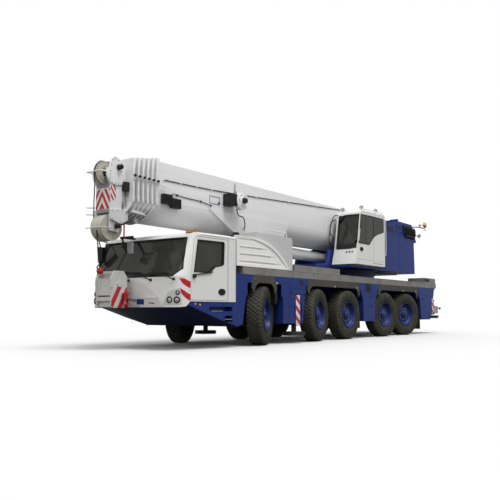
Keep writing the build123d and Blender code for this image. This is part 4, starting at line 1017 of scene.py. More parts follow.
def chainPieces():
    start, end = np.array(chain["start"]), np.array(chain["end"])
    way = (end - start) / np.linalg.norm(end - start)
    length = np.linalg.norm(end - start) / chain["links"]
    shapes = []
    for link in range(chain["links"]):
        middle = start + way * length * (link + 0.5)
        cross = np.cross(way, (0, 0, 1.0) if link % 2 else (0, 1.0, 0))
        cross /= np.linalg.norm(cross)
        angle = np.linspace(0, 2 * math.pi, 25)
        path = [middle + way * math.cos(a) * length * 0.62 + cross * math.sin(a) * 0.022 for a in angle]
        shapes.append(tube(path, chain["radius"], 6))
    makePiece("hookChain", "hook", shapes, "steel")


chainPieces()


# boom head: parts on its left plate (station and height), and marks on its front
head = {
    "face": 0.216,
    "plate": [(7.83, 3.72), (7.79, 3.83), (7.71, 3.88), (7.61, 3.85), (7.52, 3.79), (7.476, 3.71),
              (7.50, 3.60), (7.47, 3.50), (7.446, 3.41), (7.49, 3.33), (7.60, 3.30), (7.79, 3.31),
              (7.86, 3.40), (7.86, 3.56)],
    "lowPlate": [(7.81, 2.80), (7.36, 2.84), (7.36, 2.61), (7.56, 2.52), (7.81, 2.60)],
    "chevron": [(-0.205, 2.815), (0.205, 2.815), (0.205, 3.225), (-0.205, 3.225)],
    "sideChevron": [(7.66, 3.02), (7.79, 2.97), (7.79, 3.27), (7.66, 3.31)],
    "box": (7.17, 7.50, 3.21, 3.39),
    "prongs": ((7.21, 0.30), (7.29, 0.36), (7.37, 0.42), (7.45, 0.38)),
    "pad": [(7.34, 2.77), (7.34, 2.83), (6.98, 2.80), (6.98, 2.74)],
    "padEye": [(0, 0), (0, 0.05), (0.05, 0.05), (0.05, 0.028), (0.03, 0.026), (0.03, 0)],
    "rods": [[(7.74, 0.215, 2.43), (7.99, 0.215, 2.43), (8.00, 0.19, 2.43), (8.00, -0.26, 2.43)],
             [(7.80, -0.24, 2.86), (8.00, -0.26, 2.84)], [(7.80, -0.24, 2.72), (8.00, -0.26, 2.70)]],
    "keeper": [(0.046, 0.10), (0.046, 0.17), (0.054, 0.17), (0.054, 0.10), (0.046, 0.10)],
}


def chevronMaterial():
    board = Board("chevrons")
    front = ((board.z + (board.y + 0.02).size() * 1.7) / 0.235 + 0.42).part() > 0.5
    side = ((board.z - board.x * 1.5) / 0.15).part() > 0.5
    beside = board.y > 0.208
    red = front * (1.0 - beside) + side * beside
    haze = board.noise(14.0, 3.0)
    colour = board.mix(red, plateGround, signalRed)
    colour = board.mix((haze - 0.55).most(0.0), colour, (0.2, 0.2, 0.2))
    return board.surface(colour, 0.4 + 0.1 * haze, 0.0, board.bump(haze, 0.05, 0.001), **{"Coat Weight": 0.1})


finishes["chevron"] = (chevronMaterial(), "red_paint")


# black cap of a pin: collar, barrel and a rounded end with a bolt
def pinCap(x, y, z, radius, reach):
    profile = [(0, 0), (0, radius * 1.15), (reach * 0.25, radius * 1.15), (reach * 0.3, radius),
               (reach * 0.85, radius)]
    profile += [(reach, radius * 0.8), (reach, radius * 0.35), (reach * 1.15, radius * 0.3),
                (reach * 1.15, 0)]
    return turned(profile, (x, y, z), (0, 1, 0), 24)


def headPieces():
    body, face = "boom_part_7", head["face"]
    white = [plate(head["plate"], face - 0.01, face + 0.022),
             plate(head["lowPlate"], face - 0.01, face + 0.045)]
    makePiece("headPlates", body, bothSides(white), "boom", 0.006)
    studs = []
    for x, z in divided(border(head["plate"], -0.035, 0)[0], 0.07):
        studs += boltShape((x, face + 0.021, z), (0, 1, 0), 0.010, 0.016)
    for x, z in divided(border(head["lowPlate"], -0.04, 0)[0], 0.11):
        studs += boltShape((x, face + 0.044, z), (0, 1, 0), 0.009, 0.014)
    makePiece("headBolts", body, bothSides(studs), "bolt")
    caps = [pinCap(topSheave[0], 0.05, topSheave[1], 0.060, 0.13),
            pinCap(7.61, face + 0.02, 3.67, 0.052, 0.10), pinCap(7.66, face + 0.04, 2.47, 0.048, 0.09)]
    handle = tube([(7.64, face + 0.09, 2.49), (7.55, face + 0.09, 2.51), (7.45, face + 0.07, 2.55)], 0.018)
    makePiece("headPinCaps", body, bothSides(caps) + [handle], "black")
    marks = [plate(head["chevron"], 7.797, 7.806, "x"),
             plate(head["sideChevron"], face - 0.005, face + 0.004)]
    makePiece("headChevrons", body, [marks[0]] + bothSides(marks[1:]), "chevron")
    x0, x1, z0, z1 = head["box"]
    black = [bar(x0, x1, face, face + 0.09, z0, z1)]
    for x, fall in head["prongs"]:
        foot = (x, face + 0.045, z0 - 0.11)
        black.append(tube([(x, face + 0.05, z0 + 0.01), (x, face + 0.05, z0 - 0.05), foot], 0.013, 8))
        wire = [foot, (x - 0.02, face + 0.04, z0 - 0.2), (x - 0.06, face + 0.02, z0 - fall)]
        black.append(bent(wire, 0.007, 6, 4))
    makePiece("headBox", body, black, "black", 0.006)
    pad = [plate(head["pad"], face, face + 0.16), turned(head["padEye"], (7.13, face, 2.63), (0, 1, 0), 24)]
    makePiece("headPads", body, bothSides(pad), "boom", 0.008)
    strap = [bar(7.43, 7.46, face + 0.02, face + 0.035, 2.27, 2.55)]
    makePiece("headStrap", body, strap, "red", 0.003)
    # ribs on the head's top, a grey strip across its front as painted shade of a recess, and rods that guide the
    # rope
    ribs = [bar(7.30 + 0.12 * step, 7.315 + 0.12 * step, -0.19, 0.19, 3.60, 3.70) for step in range(3)]
    # painted shade: grey strip across the head's front where a dark recess lies below its plate
    ribs.append(bar(7.795, 7.803, -0.205, 0.205, 2.745, 2.785))
    makePiece("headRibsAndRecessShade", body, ribs, "grey", 0.003)
    makePiece("ropeGuides", body, [tube(path, 0.010, 8) for path in head["rods"]], "boom")
    # keeper rings beside the upper sheave, each with a circle of bolts
    x, z = topSheave
    ring = [turned(head["keeper"], (x, 0, z), (0, 1, 0), 32)]
    bolts = []
    for turn in np.arange(10) * math.pi / 5:
        place = (x + 0.135 * math.cos(turn), 0.054, z + 0.135 * math.sin(turn))
        bolts += boltShape(place, (0, 1, 0), 0.010, 0.012)
    makePiece("sheaveRings", body, bothSides(ring), "cream", 0.002)
    makePiece("sheaveBolts", body, bothSides(bolts), "bolt")


headPieces()
print("head made")

# hoist rope over the head's upper sheave and down its front
rope = {
    "radius": 0.011,
    "sheave": (*topSheave, 0.235),
    "top": [(7.52, 0.0, 3.84), (7.66, 0.0, 3.80)],
    "fall": [(8.00, -0.02, 3.30), (7.985, -0.05, 2.95), (7.975, -0.06, 2.62)],
    "cable": [(6.56, 3.56), (5.70, 3.57), (4.83, 3.59), (3.46, 3.65), (1.10, 3.77), (-1.22, 3.89)],
}


def ropePieces():
    x, z, radius = rope["sheave"]
    reach = radius + rope["radius"] - 0.006
    sweep = np.linspace(math.radians(100), math.radians(-12), 26)
    arc = [(x + reach * math.cos(a), 0.0, z + reach * math.sin(a)) for a in sweep]
    path = rope["top"] + arc + rope["fall"]
    makePiece("headRope", "boom_part_7", [tube(path, rope["radius"], 10)], "rope")
    # thin cable down the left side of the base section, held by small clips
    path = smooth([(px, 0.462, pz) for px, pz in rope["cable"]], 8)
    makePiece("sideCable", "boom", [tube(path, 0.010, 8)], "rope")
    clips = [bar(px - 0.015, px + 0.015, 0.449, 0.476, pz - 0.022, pz + 0.022) for px, _, pz in path[::5]]
    makePiece("sideClips", "boom", clips, "boom", 0.003)


ropePieces()

# collars: each section's mouth carries a leaning fin, a lug and a black knob on both sides, and pads on top
collar = {"front": 6.76, "pitch": 0.114, "thick": 0.045, "count": 6, "half": 0.45, "proud": 0.05,
          "taper": 0.018}


def collarPieces():
    for index in range(collar["count"]):
        body = "boom" if index == 0 else f"boom_part_{index + 1}"
        x = collar["front"] + index * collar["pitch"] + collar["thick"] / 2
        face = collar["half"] + collar["proud"] - index * collar["taper"]
        top = 3.93 + collar["proud"] - index * collar["taper"]
        fin = [(x - 0.020, 3.47), (x + 0.020, 3.47), (x + 0.030, 3.62), (x + 0.002, 3.76),
               (x - 0.020, top - 0.004), (x - 0.052, top - 0.004), (x - 0.034, 3.76), (x - 0.006, 3.62)]
        lug = bar(x - 0.028, x + 0.028, face - 0.01, face + 0.020, 3.44, 3.53)
        low = plate([(x - 0.024, 2.98), (x + 0.024, 2.98), (x + 0.024, 3.10), (x - 0.024, 3.10)],
                    face - 0.01, face + 0.010)
        shapes = [plate(fin, face - 0.01, face + 0.012), lug, low]
        makePiece(f"collarFins.{index + 1}", body, bothSides(shapes), "boom", 0.005)
        knob = [pinCap(x, face + 0.015, 3.485 + 0.008 * index, 0.024, 0.045)]
        makePiece(f"collarKnobs.{index + 1}", body, bothSides(knob), "black")
        tops = [bar(x - 0.02, x + 0.02, y - 0.03, y + 0.03, top - 0.006, top - 0.001)
                for y in (-0.3, 0.0, 0.3)]
        makePiece(f"collarPads.{index + 1}", body, tops, "grey", 0.001)
    rail = tube([(6.80, 0.545, 3.435), (6.80, 0.545, 3.425), (6.52, 0.50, 3.40)], 0.012, 8)
    blueMarks = [bar(6.675, 6.745, 0.452, 0.462, 3.43, 3.50), bar(4.66, 4.72, 0.452, 0.462, 3.27, 3.33)]
    makePiece("collarRail", "boom", [rail], "boom")
    makePiece("boomMarks", "boom", blueMarks, "blue", 0.002)


collarPieces()
print("collars made")

# things on the left side of the boom's base section
boomSide = {
    "boxes": [(6.36, 6.63, 3.04, 3.25), (6.09, 6.37, 2.98, 3.19)],
    "frame": (4.66, 5.03, 3.27, 3.45),
    "reel": (4.18, 3.40, 0.215),
    "lead": [(6.40, 0.50, 3.25), (6.24, 0.48, 3.30), (6.13, 0.465, 3.29), (5.80, 0.462, 3.27),
             (5.35, 0.462, 3.26), (4.99, 0.465, 3.21)],
    "plug": [(0, 0), (0, 0.022), (0.02, 0.022), (0.03, 0.012), (0.03, 0)],
    "plugs": [(6.13, 3.29), (5.35, 3.26), (4.99, 3.21)],
    "hose": [(0.10, 0.66, -0.18), (0.02, 0.66, -0.34), (-0.25, 0.60, -0.36), (-0.42, 0.52, -0.55),
             (-0.46, 0.40, -0.72)],
    "posts": [([(4.10, 0.47, 3.50), (4.10, 0.48, 3.87)], 0.012),
              ([(4.10, 0.48, 3.66), (4.04, 0.48, 3.66)], 0.02)],
}


def boomSidePieces():
    black, face = [], collar["half"]
    for x0, x1, z0, z1 in boomSide["boxes"]:
        black.append(bar(x0, x1, face + 0.012, face + 0.105, z0, z1))
        black += [bar(x0 + 0.02 + step * 0.05, x0 + 0.045 + step * 0.05, face + 0.10, face + 0.118,
                      z0 + 0.02, z1 - 0.02)
                  for step in range(5)]
        black.append(bar(x0 + 0.05, x1 - 0.05, face - 0.002, face + 0.02, z0 + 0.04, z1 - 0.04))
    makePiece("boomBoxes", "boom", black, "black", 0.005)
    plugs = [turned(boomSide["plug"], (x, 0.455, z), (0, 1, 0), 12) for x, z in boomSide["plugs"]]
    makePiece("boomLead", "boom", [bent(boomSide["lead"], 0.008)] + plugs, "black")
    x0, x1, z0, z1 = boomSide["frame"]
    low, high, rim = face - 0.001, face + 0.010, 0.012
    edges = [bar(x0, x1, low, high, z1 - rim, z1), bar(x0, x1, low, high, z0, z0 + rim),
             bar(x0, x0 + rim, low, high, z0, z1), bar(x1 - rim, x1, low, high, z0, z1)]
    makePiece("boomFrame", "boom", edges, "grey", 0.002)
    x, z, radius = boomSide["reel"]
    disc = [(0.0, 0.0), (0.0, radius), (0.018, radius), (0.018, radius * 0.86), (0.03, radius * 0.82),
            (0.03, radius * 0.5), (0.05, radius * 0.46), (0.05, 0.0)]
    drum = [(-0.10, 0.0), (-0.10, radius), (-0.085, radius), (-0.085, radius * 0.72), (0.0, radius * 0.72)]
    makePiece("reelDisc", "boom", [turned(shape, (x, 0.76, z), (0, 1, 0), 48) for shape in (disc, drum)],
              "boom")
    spots = [(x + 0.145 * math.cos(a), 0.787, z + 0.145 * math.sin(a)) for a in np.arange(6) * math.pi / 3]
    holes = [puck(spot, (0, 1, 0), 0.022, 0.004) for spot in spots]
    makePiece("reelHoles", "boom", holes, "grey")
    motor = [bar(x + 0.14, x + 0.36, 0.46, 0.72, z - 0.14, z + 0.15),
             bar(x - 0.05, x + 0.20, 0.46, 0.66, z - 0.08, z + 0.08)]
    motor.append(pinCap(x, 0.81, z, 0.065, 0.08))
    hose = bent([(x + along, y, z + up) for along, y, up in boomSide["hose"]], 0.014)
    makePiece("reelMotor", "boom", motor + [hose], "black", 0.008)
    makePiece("boomPosts", "boom", [tube(path, radius, 8) for path, radius in boomSide["posts"]], "grey")
    # weld seams along the base section where its bent shells meet
    seams = [seam((-4.7, 0.4508, 3.085), (6.74, 0.4508, 3.085), 0.004, 40)]
    makePiece("boomSeams", "boom", bothSides(seams), "boom")


boomSidePieces()
print("boom made")


# operator's cab: its front leans back from the sill; outlines are stations and heights on its left face
operator = {
    "face": 1.375,
    "inner": 0.64,
    "front": (-0.560, 2.59, 0.20),
    "glass": [(-0.78, 3.635), (-0.625, 2.765), (-1.315, 2.765), (-1.47, 2.90), (-1.60, 3.015), (-1.87, 3.125),
              (-2.33, 3.235), (-2.33, 3.655), (-1.60, 3.650)],
    "roofLamps": [(-0.90, 0.72, 3.84), (-1.02, 1.28, 3.87), (-1.98, 1.28, 3.89)],
    "lock": [(0, 0), (0, 0.062), (0.012, 0.060), (0.016, 0.048), (0.008, 0.045), (0.008, 0)],
    "lamp": [(-0.01, 0), (-0.01, 0.026), (0.012, 0.025), (0.018, 0.014), (0.019, 0)],
    "frame": (2.60, 3.645, 0.035),
    "sill": (0.02, 2.62, 2.76),
    "wiper": [(0.80, 2.70, 0.03), (0.86, 2.95, 0.035), (0.96, 3.20, 0.025)],
    # each rail: its path, its radius and the steps of its bends
    "guards": [([(-0.84, 0.63, 3.66), (-0.62, 0.56, 3.60), (-0.45, 0.53, 3.20), (-0.38, 0.53, 2.80),
                 (-0.48, 0.60, 2.62)], 0.014, 6),
               ([(-0.66, 0.60, 3.52), (-0.50, 0.545, 3.40), (-0.43, 0.54, 3.10), (-0.50, 0.60, 2.95)],
                0.016, 6)],
    "roofRail": ([(-0.92, 1.30, 3.745), (-0.94, 1.31, 3.815), (-1.05, 1.315, 3.825), (-2.25, 1.315, 3.845),
                  (-2.37, 1.31, 3.83), (-2.39, 1.30, 3.75)], 0.011, 6),
    "grabs": [([(-2.395, 1.36, 3.62), (-2.43, 1.40, 3.60), (-2.43, 1.40, 2.60), (-2.395, 1.36, 2.55)],
               0.012, 5),
              ([(-0.70, 1.378, 3.18), (-0.66, 1.40, 3.14), (-0.60, 1.40, 2.86), (-0.60, 1.378, 2.82)],
               0.010, 5)],
}


# point on the operator's cab front, lifted forward
def operatorPoint(y, z, lift=0.0):
    x, low, lean = operator["front"]
    return np.array([x - lean * (z - low) + lift, y, z])


# round work lamp on a short post: shell and post, and lens
def workLamp(x, y, z, radius=0.055):
    shell = [(-0.05, 0), (-0.05, radius * 0.6), (-0.02, radius * 0.95), (0.03, radius), (0.035, radius * 0.9)]
    shell.append((0.028, radius * 0.86))
    lens = [(0.028, radius * 0.88), (0.032, radius * 0.5), (0.033, 0.0)]
    way = (1.0, 0.25, -0.15)
    post = tube([(x, y, z - radius * 0.8), (x, y, z - radius * 2.0)], 0.010, 8)
    return [turned(shell, (x, y, z), way, 24), post], turned(lens, (x, y, z), way, 24)


def operatorPieces():
    body, face = "superstructure", operator["face"]
    glass = plate(border(divided(operator["glass"], 0.2), -0.012, 0)[0], face - 0.003, face + 0.004)
    makePiece("operatorGlass", body, [glass], "glass")
    inner, outer = border(divided(operator["glass"], 0.1), -0.030, 0.004)
    back, front = face - 0.004, face + 0.008
    black = [banded((outer, back), (outer, front), (inner, front), (inner, back)),
             bar(-1.618, -1.592, face, face + 0.009, 2.99, 3.65)]
    black.append(bar(-1.10, -1.085, face, face + 0.007, 2.79, 3.60))
    black.append(widened(turned(operator["lock"], (-0.80, face, 2.60)), -0.80))
    y0, y1 = operator["inner"] + 0.035, face - 0.035
    low, high, width = operator["frame"]
    loops = []
    for inset, lift in ((0.0, -0.006), (0.0, 0.006), (width, 0.006), (width, -0.006)):
        corners = [(y0 + inset, low + inset), (y1 - inset, low + inset)]
        corners += [(y1 - inset, high - inset), (y0 + inset, high - inset)]
        loops.append([operatorPoint(y, z, lift) for y, z in divided(corners, 0.2)])
    count = min(len(loop) for loop in loops)
    rings = [[loop[int(i * len(loop) / count)] for i in range(count)] for loop in loops]
    black.append(lattice(rings, True, True))
    inset, low, high = operator["sill"]
    corners = [(y0 + inset, low), (y1 - inset, low), (y1 - inset, high), (y0 + inset, high)]
    ends = [[operatorPoint(y, z, lift) for y, z in corners] for lift in (-0.002, 0.005)]
    black.append(skinned(*ends))
    black.append(bent([operatorPoint(*place) for place in operator["wiper"]], 0.009, 6, 4))
    black.append(tube([operatorPoint(0.95, z, 0.012) for z in (2.98, 3.2, 3.42)], 0.010, 6))
    makePiece("operatorTrim", body, black, "black")
    lamps = [turned(operator["lamp"], (-0.531, y, 2.51), (1, 0, 0.36), 20) for y in (1.03, 1.12, 1.21)]
    makePiece("operatorLamps", body, lamps, "steel")
    # guard rail at the cab's inner front corner, grab rails, roof rail
    rails = [bent(path, radius, 8, steps) for path, radius, steps in operator["guards"]]
    makePiece("operatorGuards", body, rails, "black")
    path, radius, steps = operator["roofRail"]
    white = [bent(path, radius, 8, steps)]
    white += [tube([(x, 1.312, 3.76), (x, 1.314, 3.835)], 0.009, 8) for x in (-1.4, -1.9)]
    white += [bent(path, radius, 8, steps) for path, radius, steps in operator["grabs"]]
    makePiece("operatorRails", body, white, "white")
    level = face + 0.0005
    seams = [seam((-1.605, level, 2.17), (-1.605, level, 2.98), 0.004, 10),
             seam((-0.47, level, 2.30), (-2.39, level, 2.30), 0.003, 16)]
    makePiece("operatorSeams", body, seams, "grey")
    # painted shade: black strips on the side in place of its vent slots
    starts = [-2.22 + step * 0.11 for step in range(6)]
    slotShades = [bar(x, x + 0.07, face - 0.001, face + 0.003, 2.215, 2.230) for x in starts]
    makePiece("operatorSlotShades", body, slotShades, "black")
    shells, lenses = [], []
    for x, y, z in operator["roofLamps"]:
        shell, lens = workLamp(x, y, z)
        shells += shell
        lenses.append(lens)
    makePiece("roofLamps", body, shells, "black")
    makePiece("roofLampGlass", body, lenses, "lens")


operatorPieces()
print("operator's cab made")

housing = {
    "face": 1.22,
    "ring": [(1.905, 1.004), (1.905, 1.022), (1.955, 1.026), (1.965, 1.012), (2.035, 1.012), (2.035, 1.004),
             (1.905, 1.004)],
    # boxes: stations, how far off the face, and heights
    "lids": [(-3.44, -2.90, -0.005, 0.014, 3.36, 3.56), (-4.05, -3.62, -0.005, 0.012, 3.40, 3.66)],
    "dark": [(-3.40, -3.20, 0.012, 0.017, 3.38, 3.54), (-3.15, -2.94, 0.012, 0.017, 3.38, 3.54),
             (-3.98, -3.70, 0.010, 0.016, 3.50, 3.62)],
    "valves": [(-5.10, -4.36, 0.0, 0.06, 3.30, 3.60), (-4.90, -4.20, 0.0, 0.035, 3.42, 3.68)],
    "hose": [(0.0, 0.02, 3.64), (-0.02, 0.08, 3.60), (-0.05, 0.085, 3.44), (-0.09, 0.05, 3.34),
             (-0.12, 0.01, 3.26)],
    "beacon": (-6.05, 1.27, 3.82),
    "beaconFoot": [(-0.03, 0), (-0.03, 0.05), (0.0, 0.055), (0.012, 0.05), (0.012, 0)],
    "dome": [(0.012, 0.060), (0.03, 0.064), (0.11, 0.058), (0.145, 0.036), (0.155, 0.0)],
    "arm": [(-4.95, 1.15, 3.66), (-5.25, 1.20, 3.72), (-5.60, 1.25, 3.74), (-5.95, 1.27, 3.74)],
    "lowArm": [(-5.10, 1.18, 3.40), (-5.30, 1.24, 3.42), (-5.50, 1.27, 3.36)],
    "lead": [(-5.60, 1.25, 3.74), (-5.66, 1.27, 3.82), (-5.80, 1.28, 3.84), (-6.05, 1.27, 3.80)],
    "lamps": [(-5.52, 1.27, 3.44, 0.05), (-5.62, 1.25, 3.82, 0.038)],
}


# boxes on a face, each given by stations, distances off the face, and heights
def faceBars(sizes, face):
    return [bar(x0, x1, face + low, face + high, z0, z1) for x0, x1, low, high, z0, z1 in sizes]


def superPieces():
    body, face = "superstructure", housing["face"]
    # dark slewing ring between the deck and the platform, with its bolt circle
    slew = np.asarray(joints["slew"]["pos_m"], float) - (axleX, 0, 0)
    makePiece("slewRing", body, [turned(housing["ring"], (slew[0], 0, 0), (0, 0, 1), 96)], "steel")
    bolts = []
    for turn in np.arange(48) * math.pi / 24:
        place = (slew[0] + 1.012 * math.cos(turn), 1.012 * math.sin(turn), 1.962)
        bolts += boltShape(place, (0, 0, 1), 0.012, 0.03)
    makePiece("slewBolts", body, bolts, "steel")
    # seams of both rear housings, and the left one's lids and steps
    level = face + 0.0005
    lines = [seam((-2.82, level, 3.30), (-5.10, level, 3.30), 0.004, 20),
             seam((-3.90, level, 2.2), (-3.90, level, 3.29), 0.004, 12),
             seam((-2.80, level, 2.28), (-5.12, level, 2.28), 0.003, 20)]
    makePiece("housingSeams", body, bothSides(lines), "steel")
    steps = [(-3.05 - 0.42 * step, 3.58 + 0.085 * step) for step in range(3)]
    lids = faceBars(housing["lids"] + [(x, x + 0.06, -0.30, -0.02, z, z + 0.10) for x, z in steps], face)
    makePiece("housingLids", body, lids, "blue", 0.008)
    cluster = faceBars(housing["valves"], face)
    for step in range(7):
        x = -4.30 - 0.12 * step
        cluster.append(bent([(x + along, face + out, z) for along, out, z in housing["hose"]], 0.013, 8, 5))
        cluster.append(pinCap(x - 0.03, face + 0.05, 3.54 - 0.03 * (step % 2), 0.022, 0.035))
    makePiece("housingDark", body, faceBars(housing["dark"], face), "steel")
    makePiece("valveBlock", body, cluster, "black", 0.006)
    # arm at the rear with the beacon and two lamps
    x, y, z = housing["beacon"]
    arms = [bent(housing["arm"], 0.016), tube([(x, y, 3.66), (x, y, z)], 0.013, 8),
            bent(housing["lowArm"], 0.013, 8, 5), bent(housing["lead"], 0.009, 6, 5),
            turned(housing["beaconFoot"], (x, y, z), (0, 0, 1), 24)]
    lamps = [workLamp(*lamp) for lamp in housing["lamps"]]
    for shell, lens in lamps:
        arms += shell
    makePiece("rearArms", body, arms, "black")
    makePiece("rearLampGlass", body, [lens for shell, lens in lamps], "lens")
    makePiece("beacon", body, [turned(housing["dome"], (x, y, z), (0, 0, 1), 32)], "amber")


superPieces()
print("superstructure made")

chassis = {
    "face": 1.375,
    "archEnds": [(4.570, 3.690), (2.190, -0.590), (-1.920, -4.920)],
    "guard": (0.30, 1.60, 1.43),
    "lipLamps": [(3.63, 1.44), (0.84, 1.44), (-3.73, 1.44), (-0.45, 1.44), (-4.80, 1.44)],
    "lipLamp": [(0, 0), (0, 0.024), (0.012, 0.022), (0.018, 0.012), (0.019, 0)],
    "innerFlap": [(3.64, 1.40), (3.56, 1.40), (3.54, 1.10), (3.60, 0.92), (3.64, 0.96)],
    "ventRims": [(-1.40, -1.05, -0.001, 0.006, 1.355, 1.375), (-1.40, -1.05, -0.001, 0.006, 1.565, 1.585)],
    "knobs": [(-1.37, 1.21), (-1.40, 0.94), (2.40, 1.20), (3.00, 1.24), (-5.40, 1.20)],
    "grips": [(2.45, 2.60, -0.001, 0.010, 1.44, 1.54), (-1.30, -1.16, -0.001, 0.012, 1.42, 1.53)],
    "upright": [(-0.86, 0.55, 1.41), (-1.66, 0.55, 1.41), (2.32, 0.62, 1.58), (-5.15, 0.62, 1.58)],
    "along": [(-1.66, -0.86), (2.32, 3.10), (-6.45, -5.15)],
    "oneSided": (3.10, -6.45),
    "boltStations": (2.36, 2.48, 2.92, 3.04, -5.20, -6.40),
    "stripes": {"F": (0.185, 0.42, 1.18), "R": (0.21, 0.70, 1.16)},
    "rearBox": (-6.90, -6.44, 1.05, 1.36, 0.70, 0.97),
    "redLamp": (-6.915, -6.898, 1.08, 1.18, 0.74, 0.92),
    "amberLamp": (-6.915, -6.898, 1.22, 1.33, 0.74, 0.92),
    "lampArm": [(-6.74, 1.30, 0.86), (-6.84, 1.38, 0.90), (-6.92, 1.42, 0.88)],
    "mudFlap": (-5.26, -5.24, 0.98, 1.32, 0.17, 0.60),
}


# dark band that follows a wheel arch over its rounded corners
def guardBand(front, rear, low, high):
    turn = np.linspace(0, math.pi / 2, 10)
    reach, top, lip = chassis["guard"]
    outer = [(front + 0.06 - reach * (1 - math.cos(a)), top - reach * (1 - math.sin(a))) for a in turn]
    outer += [(rear - 0.06 + reach * (1 - math.cos(a)), top - reach * (1 - math.sin(a))) for a in turn[::-1]]
    small = reach * 0.8
    inner = [(front - 0.03 - small * (1 - math.cos(a)), lip - small * (1 - math.sin(a))) for a in turn]
    inner += [(rear + 0.03 + small * (1 - math.cos(a)), lip - small * (1 - math.sin(a))) for a in turn[::-1]]
    rings = [[(x, level, z) for x, z in loop]
             for loop, level in ((outer, low), (outer, high), (inner, high), (inner, low))]
    points, faces = lattice(rings, wrapRows=True)
    count = len(outer)
    ends = [[row * count + end for row in range(4)] for end in (0, count - 1)]
    return points, faces + ends


def chassisPieces():
    face = chassis["face"]
    bands = [guardBand(front, rear, face - 0.03, face + 0.005) for front, rear in chassis["archEnds"]]
    makePiece("guardBands", "carrier", bothSides(bands), "guard", 0.003)
    makePiece("innerGuards", "carrier", bothSides([plate(chassis["innerFlap"], 1.02, 1.33)]), "black", 0.006)
    lenses = [turned(chassis["lipLamp"], (x, face, z), (0, 1, 0), 20) for x, z in chassis["lipLamps"]]
    makePiece("lipLamps", "carrier", bothSides(lenses), "lens")
    # deck edge: upper lip, seams between its sheets, rear black inserts
    makePiece("deckLip", "carrier", bothSides([bar(-6.69, 4.96, face - 0.012, face + 0.004, 1.762, 1.779)]),
              "deck", 0.003)
    joins = [(x - 0.004, x + 0.004, -0.002, 0.002, 1.615, 1.760) for x in np.arange(-5.6, 4.8, 1.22)]
    joins.append((-6.07, -5.64, -0.001, 0.004, 1.83, 1.91))
    makePiece("deckSeams", "carrier", bothSides(faceBars(joins, face)), "black")
    # vent slats, knobs and grips on the side panels
    slats = [(x, x + 0.03, -0.001, 0.005, 1.37, 1.57) for x in (-1.40 + 0.058 * step for step in range(7))]
    makePiece("sideVents", "carrier", bothSides(faceBars(chassis["ventRims"] + slats, face)), "steel", 0.002)
    grips = [pinCap(x, face, z, 0.018, 0.028) for x, z in chassis["knobs"]]
    makePiece("sideGrips", "carrier", bothSides(grips + faceBars(chassis["grips"], face)), "black", 0.003)
    # seams keep clear of the outrigger beams, which differ from side to side
    level = face + 0.0005
    lines = [seam((x, level, low), (x, level, high)) for x, low, high in chassis["upright"]]
    lines += [seam((x0, level, 1.33), (x1, level, 1.33)) for x0, x1 in chassis["along"]]
    left, right = [seam((x, level, 0.62), (x, level, 1.58)) for x in chassis["oneSided"]]
    makePiece("sideSeams", "carrier", bothSides(lines) + [left, mirrored(right)], "steel")
    bolts = []
    for x in chassis["boltStations"]:
        for z in (0.70, 0.90, 1.10):
            bolts += boltShape((x, face, z), (0, 1, 0), 0.009, 0.012)
    makePiece("sideBolts", "carrier", bothSides(bolts), "blue")
    # striped plates on the ends of the outriggers
    for tag in ("FL", "FR", "RL", "RR"):
        wide, z0, z1 = chassis["stripes"][tag[0]]
        low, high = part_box(f"outrigger_jack_{tag}")
        middle = (low[0] + high[0]) / 2 - axleX
        shape = bar(middle - wide / 2, middle + wide / 2, face - 0.011, face - 0.004, z0, z1)
        shape = shape if tag[1] == "L" else mirrored(shape)
        makePiece(f"outriggerPlate.{tag}", f"outrigger_beam_{tag}", [shape], "bands", 0.002)
    # rear: bumper boxes, lamps and lower bar, flaps behind the last wheels
    makePiece("rearBoxes", "carrier", bothSides([bar(*chassis["rearBox"])]), "grey", 0.012)
    makePiece("rearLampsRed", "carrier", bothSides([bar(*chassis["redLamp"])]), "red", 0.003)
    makePiece("rearLampsAmber", "carrier", bothSides([bar(*chassis["amberLamp"])]), "amber", 0.003)
    dark = [bent(chassis["lampArm"], 0.012, 8, 5), pinCap(-6.93, 1.39, 0.88, 0.035, 0.05)]
    dark.append(bar(-6.92, -6.36, 1.02, 1.37, 0.55, 0.63))
    makePiece("rearLampArms", "carrier", bothSides(dark), "black")
    makePiece("mudFlaps", "carrier", bothSides([bar(*chassis["mudFlap"])]), "rubber", 0.003)


chassisPieces()
print("chassis made")


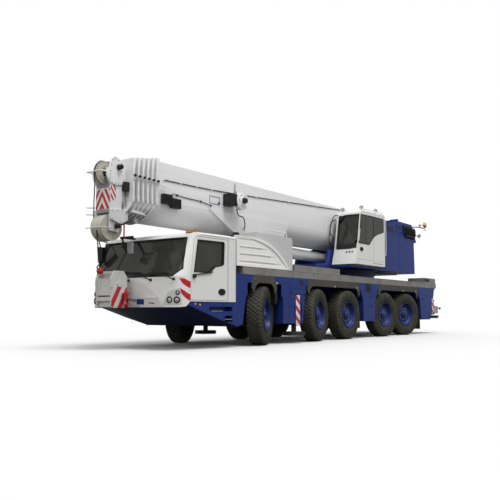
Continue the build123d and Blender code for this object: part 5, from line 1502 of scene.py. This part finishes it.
# floor, world and lamps
stage = {
    "floorSeen": (0.735, 0.735, 0.735),
    "floorLight": (0.12, 0.12, 0.12),
    "level": 0.74,
    "glossy": 0.42,
    "key": {"direction": (-0.05, -0.50, -1.0), "strength": 2.1, "angle": 30.0},
    "side": {"direction": (-1.0, -0.10, -0.60), "strength": 0.55, "angle": 40.0},
}


def makeFloor():
    half = 120.0
    mesh = bpy.data.meshes.new("floor")
    mesh.from_pydata([(-half, -half, 0), (half, -half, 0), (half, half, 0), (-half, half, 0)], [],
                     [(0, 1, 2, 3)])
    floor = bpy.data.objects.new("floor", mesh)
    bpy.context.scene.collection.objects.link(floor)
    board = Board("floorWhite")
    seen = board.node("ShaderNodeLightPath")["Is Camera Ray"]
    colour = board.mix(seen, stage["floorLight"], stage["floorSeen"])
    mesh.materials.append(board.surface(colour, 0.8, **{"Specular IOR Level": 0.1}))


# plain world: one level for light, a dimmer one in reflections, and white behind the crane
def makeWorld():
    world = bpy.data.worlds.new("world")
    bpy.context.scene.world = world
    world.use_nodes = True
    tree = world.node_tree
    tree.nodes.clear()
    output = tree.nodes.new("ShaderNodeOutputWorld")
    path = tree.nodes.new("ShaderNodeLightPath")
    last = None
    for level, ray in ((stage["level"], None), (stage["glossy"], "Is Glossy Ray"), (1.0, "Is Camera Ray")):
        ground = tree.nodes.new("ShaderNodeBackground")
        ground.inputs[0].default_value = (1, 1, 1, 1)
        ground.inputs[1].default_value = level
        shader = ground.outputs[0]
        if ray:
            mix = tree.nodes.new("ShaderNodeMixShader")
            tree.links.new(path.outputs[ray], mix.inputs[0])
            tree.links.new(last, mix.inputs[1])
            tree.links.new(shader, mix.inputs[2])
            shader = mix.outputs[0]
        last = shader
    tree.links.new(last, output.inputs[0])


def makeSun(name, direction, strength, angle):
    data = bpy.data.lights.new(name, "SUN")
    data.energy, data.angle = strength, math.radians(angle)
    lamp = bpy.data.objects.new(name, data)
    bpy.context.scene.collection.objects.link(lamp)
    lamp.rotation_mode = "QUATERNION"
    lamp.rotation_quaternion = Vector(direction).to_track_quat("-Z", "Y")


makeFloor()
makeWorld()
makeSun("keyLamp", **stage["key"])
makeSun("sideLamp", **stage["side"])
bpy.context.scene.view_settings.view_transform = "Standard"
print("stage set")
